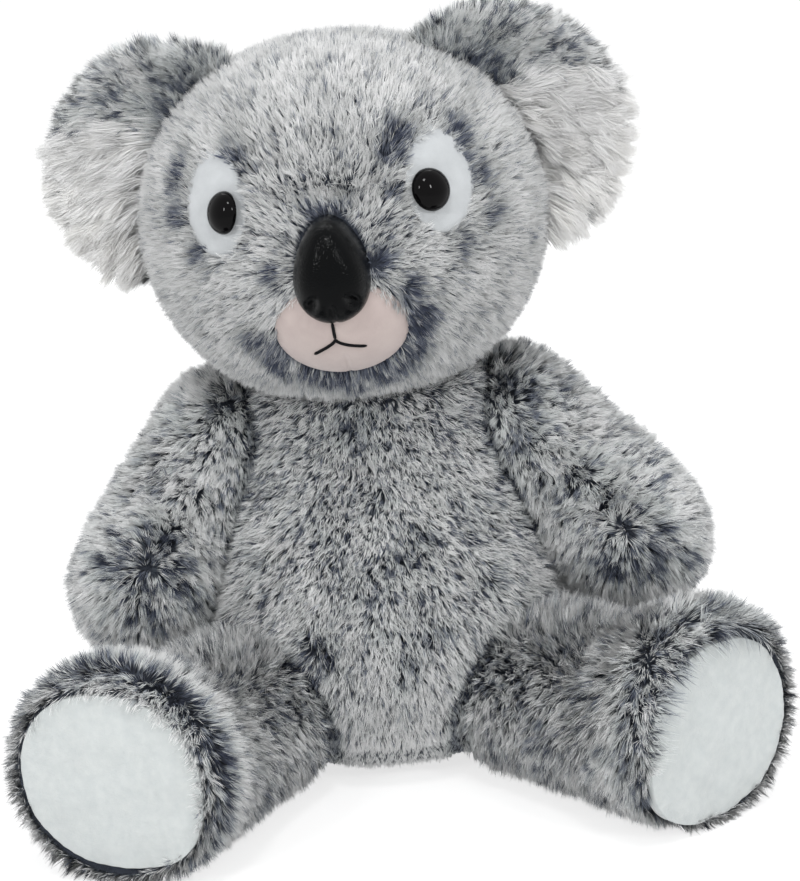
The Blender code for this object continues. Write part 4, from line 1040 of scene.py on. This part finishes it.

# %% [markdown]
# ## Fur on the ears
# Behind, the ears carry the same frosted plush as the head, and it comes over their upper edge to the
# front. The rest of each ear's face is long white pile, more than twice as long, in wavy locks that fan out
# from the root and hang over the rim. Where the ear folds at its root, a narrow slit of the white locks is
# painted dark as shade.

# %% Grow the ears' fur
def ear_coat(side, towards, white, count, seed):
    """A coat on one panel of an ear: white locks, or grey pile behind and over the upper edge."""
    frame_, form, sign = EAR_FRAMES[side], ear_form(side, towards), SIDES[side]
    out = moved(frame_.to_3x3().to_4x4(), np.array((0.0, float(towards), 0.0)))
    roots = scatter(form, int(count), seed, 1.6 * MM, out, (0.05, 1.0))
    p = roots["place"]
    q = to_local(frame_, p) * np.array((sign, 1, 1))
    random = np.random.default_rng(seed)
    if towards < 0:
        edge = 11 * MM - 0.25 * q[:, 0] + 2.5 * MM * waves(q, 9 * MM, 71)
        edge = edge + random.normal(size=len(p)) * 1.5 * MM
        upper = q[:, 2] > edge
        hidden = upper if white else ~upper
        hidden = hidden | in_head(p, 2 * MM)
    else:
        hidden = in_head(p, 2 * MM)
    roots = kept(roots, ~hidden)
    p = roots["place"]
    q = to_local(frame_, p) * np.array((sign, 1, 1))
    fan = unit(q - np.array((-9, 0, 3)) * MM)
    if white:
        fan = unit(fan + np.array((0.35, -0.25, -0.25)) * 0.8)
    comb = moved(frame_.to_3x3().to_4x4(), fan * np.array((sign, 1, 1)))
    comb = comb + 0.25 * stirred(p, 14 * MM, 72)
    reach = np.hypot(q[:, 0] - 6 * MM, q[:, 2]) / EAR_REACH
    if white:
        length = (19.0 - 8.0 * reach) * MM
        lift = np.clip(0.42 - 0.15 * reach + 0.1 * waves(p, 8 * MM, 75), 0.1, 0.8)
        # Where the ear folds at its root the white locks are painted dark: painted shade in the fold. They
        # also darken towards the bottom of the ear.
        fold_shade = np.exp(-((q[:, 0] + 1.5 * MM) / (3 * MM)) ** 2)
        tone = 0.92 + 0.12 * waves(p, 7 * MM, 76) - 0.9 * fold_shade - 0.2 * smoothstep(0, -26 * MM, q[:, 2])
        tone = tone + random.normal(size=len(p)) * 0.08
        part, slot, finish = "white_locks", "white_plush", white_pile
        tuft, clump, wild, droop, curl, width = 2.2 * MM, 0.32, 0.14, 0.30, 0.04, 0.28 * MM
    else:
        length = np.full(len(p), 7.4 * MM)
        lift = np.clip(0.42 + 0.10 * waves(p, 10 * MM, 77), 0.2, 0.9)
        root_far = np.hypot(q[:, 0] - 2 * MM, q[:, 2] - 13 * MM)
        tone = toned(p, 0.84, 0.75 * np.exp(-((root_far / (12 * MM)) ** 2)), seed, 0.8 * MM, 0.28, deep=0.85)
        part, slot, finish = ("back_fur" if towards > 0 else "brow_fur"), "grey_plush", frosted_plush
        tuft, clump, wild, droop, curl, width = 0.8 * MM, 0.25, 0.11, 0.05, 0.0, 0.22 * MM
    whole = np.full(len(p), True)
    coat(side + "_ear", side + "_ear", slot, finish, roots, comb, length, lift, tone, seed, {part: whole},
         width=width, tuft=tuft, clump=clump, wild=wild, droop=droop, curl=curl)


for n, side in enumerate(SIDES):
    ear_coat(side, 1, False, 40000, 141 + n)
    ear_coat(side, -1, False, 60000, 151 + n)
    ear_coat(side, -1, True, 60000, 161 + n)

# %% [markdown]
# ## Felt rounds and safety eyes
# Each felt round is die-cut, a little pointed on top, and lies in the pile. The eye is a dome with a stem
# that goes through felt and skin to a washer behind. Both are rings of points: the felt's are laid on the
# face, so it bends with it, and the eye's are turned as on a lathe. The washers keep their solids, which
# are exact already.

# %% Felt and eyes
def sheet_rings(frame_, half_width, half_tall, shares, insets, sides=64, shape=lambda a: 1.0 + 0 * a):
    """Rings of a sheet laid on the face: share of its outline, and depth below the pile's surface."""
    a = np.linspace(0, 2 * np.pi, sides, endpoint=False)
    rings = []
    for share, inset in zip(shares, insets):
        u, v = half_width * share * np.cos(a) * shape(a), half_tall * share * np.sin(a) * shape(a)
        q = to_local(NECK, moved(frame_, points(u, 0.0, v)))
        rings.append(moved(NECK, face(q[:, 0], q[:, 2], inset)))
    return np.array(rings)


def lathe(frame_, profile, sides=48):
    """Rings of a turned form from pairs of depth and radius along a frame's Y."""
    a = np.linspace(0, 2 * np.pi, sides, endpoint=False)
    return np.array([moved(frame_, points(r * np.cos(a), d, r * np.sin(a))) for d, r in profile])


EYE_OUT = {"left": math.radians(13), "right": math.radians(26)}  # each dome looks a little outwards


def pointed(a):
    """An outline that rises to a blunt point on top."""
    return 1.0 + 0.07 * np.maximum(np.sin(a), 0) ** 6


for side, sign in SIDES.items():
    shares = [0.02, 0.25, 0.5, 0.7, 0.85, 0.94, 0.985, 1.0, 1.0, 0.97, 0.5, 0.02]
    insets = np.array([0.7, 0.7, 0.75, 0.8, 0.9, 1.0, 1.2, 1.5, 2.3, 2.7, 2.7, 2.7]) * MM
    rings = sheet_rings(PATCHES[side], 10.4 * MM, 14.5 * MM, shares, insets, shape=pointed)
    felt_round = mesh_from(side + "_felt_round", rings, felt)
    dress(felt_round, "head", "felt", side + "_eye_patch")
    at_eye = NECK @ face_frame(sign * 28.5 * MM, 66.8 * MM) @ Matrix.Rotation(sign * EYE_OUT[side], 4, "Z")
    arc = np.radians(np.linspace(2, 90, 18))
    profile = [((0.1 - 4.4 * math.cos(t)) * MM, 6 * MM * math.sin(t)) for t in arc]
    profile += [(0.6 * MM, 5.85 * MM), (1.1 * MM, 5.2 * MM), (1.1 * MM, 1.8 * MM)]
    profile += [(11.4 * MM, 1.8 * MM), (11.6 * MM, 1.4 * MM)]
    eye = mesh_from(side + "_safety_eye", lathe(at_eye, profile), eye_plastic)
    dress(eye, "head", "hard_black", side + "_eye")
for name in ("left_eye_washer", "right_eye_washer", "nose_washer"):
    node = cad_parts[name]
    node.data.materials.clear()
    node.data.materials.append(washer_plastic)
print("eyes set")

# %% [markdown]
# ## Muzzle, nose and mouth
# The velour muzzle is a small pillow sewn into the plush. The nose sits over its upper edge: an egg, wider
# below, with two comma-shaped nostrils and a short cleft. The mouth is sewn with one thick thread, so it
# presses in. Nostrils, cleft and furrow are smooth dents added to the egg's depth, which keeps the mesh
# whole and even.

# %% Muzzle
def muzzle_inset(x, rise):
    """How deep the velour lies: a pillow, with a faint seam under the mouth and a press under the thread."""
    edge = (x / (18.5 * MM)) ** 2 + ((rise - 32.5 * MM) / (14.5 * MM)) ** 2
    seam = np.exp(-((x / (0.9 * MM)) ** 2)) * smoothstep(27.5 * MM, 23.5 * MM, rise)
    return (0.2 + 1.4 * np.clip(edge, 0, 1) ** 2) * MM + 0.55 * MM * seam


shares = np.concatenate([np.linspace(0.02, 0.9, 16), [0.95, 0.985, 1.0, 1.0, 0.96, 0.5, 0.02]])
a = np.linspace(0, 2 * np.pi, 128, endpoint=False)
rings = []
for i, share in enumerate(shares):
    x, rise = 18.5 * MM * share * np.cos(a), 32.5 * MM + 14.5 * MM * share * np.sin(a)
    depth = muzzle_inset(x, rise) if i < 19 else 4.0 * MM
    rings.append(moved(NECK, face(x, rise, depth)))
muzzle = mesh_from("velour_muzzle", np.array(rings), muzzle_velour)
dress(muzzle, "head", "velour", "muzzle_patch")
print("muzzle", len(muzzle.data.vertices), "points")

# %% Nose
a = np.linspace(0, 2 * np.pi, 96, endpoint=False)
rings = []
for step in np.concatenate([[-0.5, -0.25], np.linspace(0, 1, 34)]):
    scale = math.cos(max(step, 0) * 1.555)
    share = (1 - scale**2.3) ** (1 / 2.3) if step > 0 else step
    x = 10.25 * MM * scale * np.cos(a) * (1 - 0.20 * np.sin(a))
    z = 14.25 * MM * scale * np.sin(a)
    y = -12 * MM * share + 0 * a
    for sign in SIDES.values():
        beside = x - sign * 5.6 * MM
        across = beside * 0.8 + (z + 7.2 * MM) * sign * 0.5
        along = z + 7.0 * MM - beside * sign * 0.5
        y = y + 2.6 * MM * np.exp(-((across / (1.3 * MM)) ** 2) - (along / (2.4 * MM)) ** 2)
    cleft = np.exp(-((x / (0.7 * MM)) ** 2)) * smoothstep(-6 * MM, -10 * MM, z)
    furrow = np.exp(-((x / (2.6 * MM)) ** 2)) * smoothstep(-3 * MM, 3 * MM, z)
    y = y + (1.3 * cleft + 0.5 * furrow) * MM * (share > 0)
    rings.append(moved(NOSE_FRAME, points(x, y, z)))
nose = mesh_from("moulded_nose", np.array(rings), nose_plastic)
dress(nose, "head", "hard_black", "nose")
print("nose", len(nose.data.vertices), "points")

# %% Mouth
THREAD_SIDES = 10


def thread_along(path, radius=0.46 * MM, sides=THREAD_SIDES):
    """Rings of a round thread along a path over the face, in the neck's frame."""
    ahead = unit(np.gradient(path, axis=0))
    out = np.array((0.0, -1.0, 0.0))
    across = unit(np.cross(ahead, out))
    up = np.cross(across, ahead)
    turn = np.linspace(0, 2 * np.pi, sides, endpoint=False)
    ends = np.minimum(np.arange(len(path)), np.arange(len(path))[::-1])
    wide = radius * np.where(ends == 0, 0.4, np.where(ends == 1, 0.8, 1.0))
    return np.array([moved(NECK, p + w * (c * np.cos(turn)[:, None] + u * np.sin(turn)[:, None]))
                     for p, c, u, w in zip(path, across, up, wide)])


share = np.linspace(-1, 1, 41)
x = (-1.4 + 7.4 * share + 0.6 * share**2) * MM
rise = (31.2 - (4.2 - 0.6 * share) * np.abs(share) ** 0.62) * MM
fork = face(x, rise, muzzle_inset(x, rise) - 0.2 * MM)
upright = np.linspace(31.2 * MM, 36.5 * MM, 14)
stem = face(np.full(14, -1.4 * MM), upright, muzzle_inset(np.full(14, -1.4 * MM), upright) - 0.2 * MM)
mouth = mesh_from("mouth_thread_fork", thread_along(fork), thread_black)
mouth_stem = mesh_from("mouth_thread_upright", thread_along(stem), thread_black)
for piece in (mouth, mouth_stem):
    layer = piece.data.uv_layers.new(name="OFBake")
    for loop, place in zip(piece.data.loops, layer.data):
        row, col = divmod(loop.vertex_index, THREAD_SIDES)
        place.uv = (row / 41, col / THREAD_SIDES)
    dress(piece, "head", "thread")
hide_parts("mouth_stitching")
print("face done")

# %% [markdown]
# ## Soles
# Each sole is an oval of white velour sewn round its edge and pushed out a little by the filling. The
# stitches pucker its rim, and the fibre behind makes it slightly lumpy. A flat disc would look like card,
# so its rings are crowned, puckered and lumpy by small amounts.

# %% Soles
for side in SIDES:
    where = sole_frame(side)
    a = np.linspace(0, 2 * np.pi, 144, endpoint=False)
    rings = []
    shares = np.concatenate([np.linspace(0.01, 0.9, 18), [0.94, 0.97, 0.99, 1.0, 1.0, 0.9]])
    for i, share in enumerate(shares):
        edge = share * sole_outline(side, a)
        x, z = SOLE_HALF[0] * edge * np.cos(a), SOLE_HALF[1] * edge * np.sin(a)
        pucker = 0.10 * MM * np.sin(a * 40 + 2 * np.sin(a * 3)) * smoothstep(0.72, 0.97, np.array(share))
        lump = 0.35 * MM * waves(points(x, 0 * x, z), 17 * MM, 81 + len(side))
        crowned = -0.9 * MM - 1.2 * MM * (1 - share**2) + pucker + lump
        y = crowned if i < 22 else np.full(len(a), 2.8 * MM)
        rings.append(moved(where, points(x, y, z)))
    sole = mesh_from(side + "_velour_sole", np.array(rings), sole_velour)
    dress(sole, side + "_leg", "sole_velour", side + "_sole_pad")
    print(side, "sole", len(sole.data.vertices), "points")

# %% [markdown]
# ## Floor, light and camera
# The photo is a studio picture on white. The white surroundings give most of the light. A small soft box
# above the camera draws the shadows between the tufts, two tall narrow ones left and right of it put the
# paired highlights on eyes and nose, and a broad one behind keeps the back from going dull. Floor and sky
# look pure white to the camera but light the toy at a plain level, so pale plush isn't burnt out.

# %% Floor and sky
def seen_by_eye(tree):
    """1 for rays from the camera, and from mirrors and glass, and 0 for the light that falls on things."""
    rays = add(tree, "ShaderNodeLightPath")
    total = rays.outputs["Is Camera Ray"]
    for kind in ("Is Glossy Ray", "Is Transmission Ray"):
        both = add(tree, "ShaderNodeMath", {0: total, 1: rays.outputs[kind]}, operation="ADD", use_clamp=True)
        total = both.outputs[0]
    return total


# Painted studio floor, matte: white, with only the soft shadow of the toy on it.
floor_finish, floor_tree, floor_shader = finish_named(
    "pale_matte_floor", Base_Color=linear("#f2f2f2"), Roughness=0.9)
floor_light = add(floor_tree, "ShaderNodeEmission", {"Color": (1, 1, 1, 1), "Strength": 1.2})
floor_share = add(floor_tree, "ShaderNodeMath", {0: seen_by_eye(floor_tree), 1: 0.6}, operation="MULTIPLY")
floor_mix = add(floor_tree, "ShaderNodeMixShader",
                {0: floor_share.outputs[0], 1: floor_shader.outputs[0], 2: floor_light.outputs[0]})
floor_tree.links.new(floor_mix.outputs[0], floor_tree.nodes["Material Output"].inputs["Surface"])
bpy.ops.mesh.primitive_plane_add(size=6)
floor = bpy.context.object
floor.name = "studio_floor"
floor.data.materials.append(floor_finish)

world = bpy.data.worlds.new("white_studio")
bpy.context.scene.world = world
world.use_nodes = True
sky = world.node_tree
sky.nodes.clear()
soft = add(sky, "ShaderNodeBackground", {"Color": (0.985, 0.993, 1.0, 1), "Strength": 0.85})
white = add(sky, "ShaderNodeBackground", {"Color": (1, 1, 1, 1), "Strength": 1.0})
either = add(sky, "ShaderNodeMixShader", {0: seen_by_eye(sky), 1: soft.outputs[0], 2: white.outputs[0]})
add(sky, "ShaderNodeOutputWorld", {"Surface": either.outputs[0]})
print("floor and sky made")

# %% Lamps
def soft_light(name, place, aim, size, power, tall=1.0):
    """A soft box that looks at a place."""
    lamp = bpy.data.lights.new(name, "AREA")
    lamp.shape = "RECTANGLE"
    lamp.energy, lamp.size, lamp.size_y = power, size, size * tall
    made = bpy.data.objects.new(name, lamp)
    turn = (Vector(aim) - Vector(place)).to_track_quat("-Z", "Y")
    made.matrix_world = Matrix.Translation(place) @ turn.to_matrix().to_4x4()
    bpy.context.scene.collection.objects.link(made)


soft_light("key_softbox", (0.0, -0.56, 1.2), (0, -0.03, 0.12), 0.2, 3.8)
soft_light("left_softbox", (-0.50, -0.72, 0.62), (0, -0.03, 0.12), 0.08, 1.8, 2.2)
soft_light("right_softbox", (0.50, -0.72, 0.62), (0, -0.03, 0.12), 0.08, 2.0, 2.2)
soft_light("back_softbox", (0.0, 0.7, 0.8), (0, 0, 0.12), 0.7, 3.4)
print("lamps", [lamp.name for lamp in bpy.data.lights])

# %% [markdown]
# ## Camera
# The camera stands 0.8 m away and looks 17 degrees down with a long lens, as the soles' and the head's
# outlines in the photo ask for. It is rolled a little, because the toy sits slightly tilted in the picture.

# %% Camera
lens = bpy.data.cameras.new("photo_camera")
lens.lens, lens.sensor_width = 108.98, 36.0
camera = bpy.data.objects.new("photo_camera", lens)
tilt = math.radians(17)
place = Vector((0.0085, 0, 0.093)) + 0.8 * Vector((0, -math.cos(tilt), math.sin(tilt)))
camera.matrix_world = (Matrix.Translation(place) @ Matrix.Rotation(math.pi / 2 - tilt, 4, "X")
                       @ Matrix.Rotation(math.radians(-4.3), 4, "Z"))
bpy.context.scene.collection.objects.link(camera)
bpy.context.scene.camera = camera
bpy.context.scene.view_settings.view_transform = "Standard"
print("camera at", tuple(round(c, 3) for c in place))
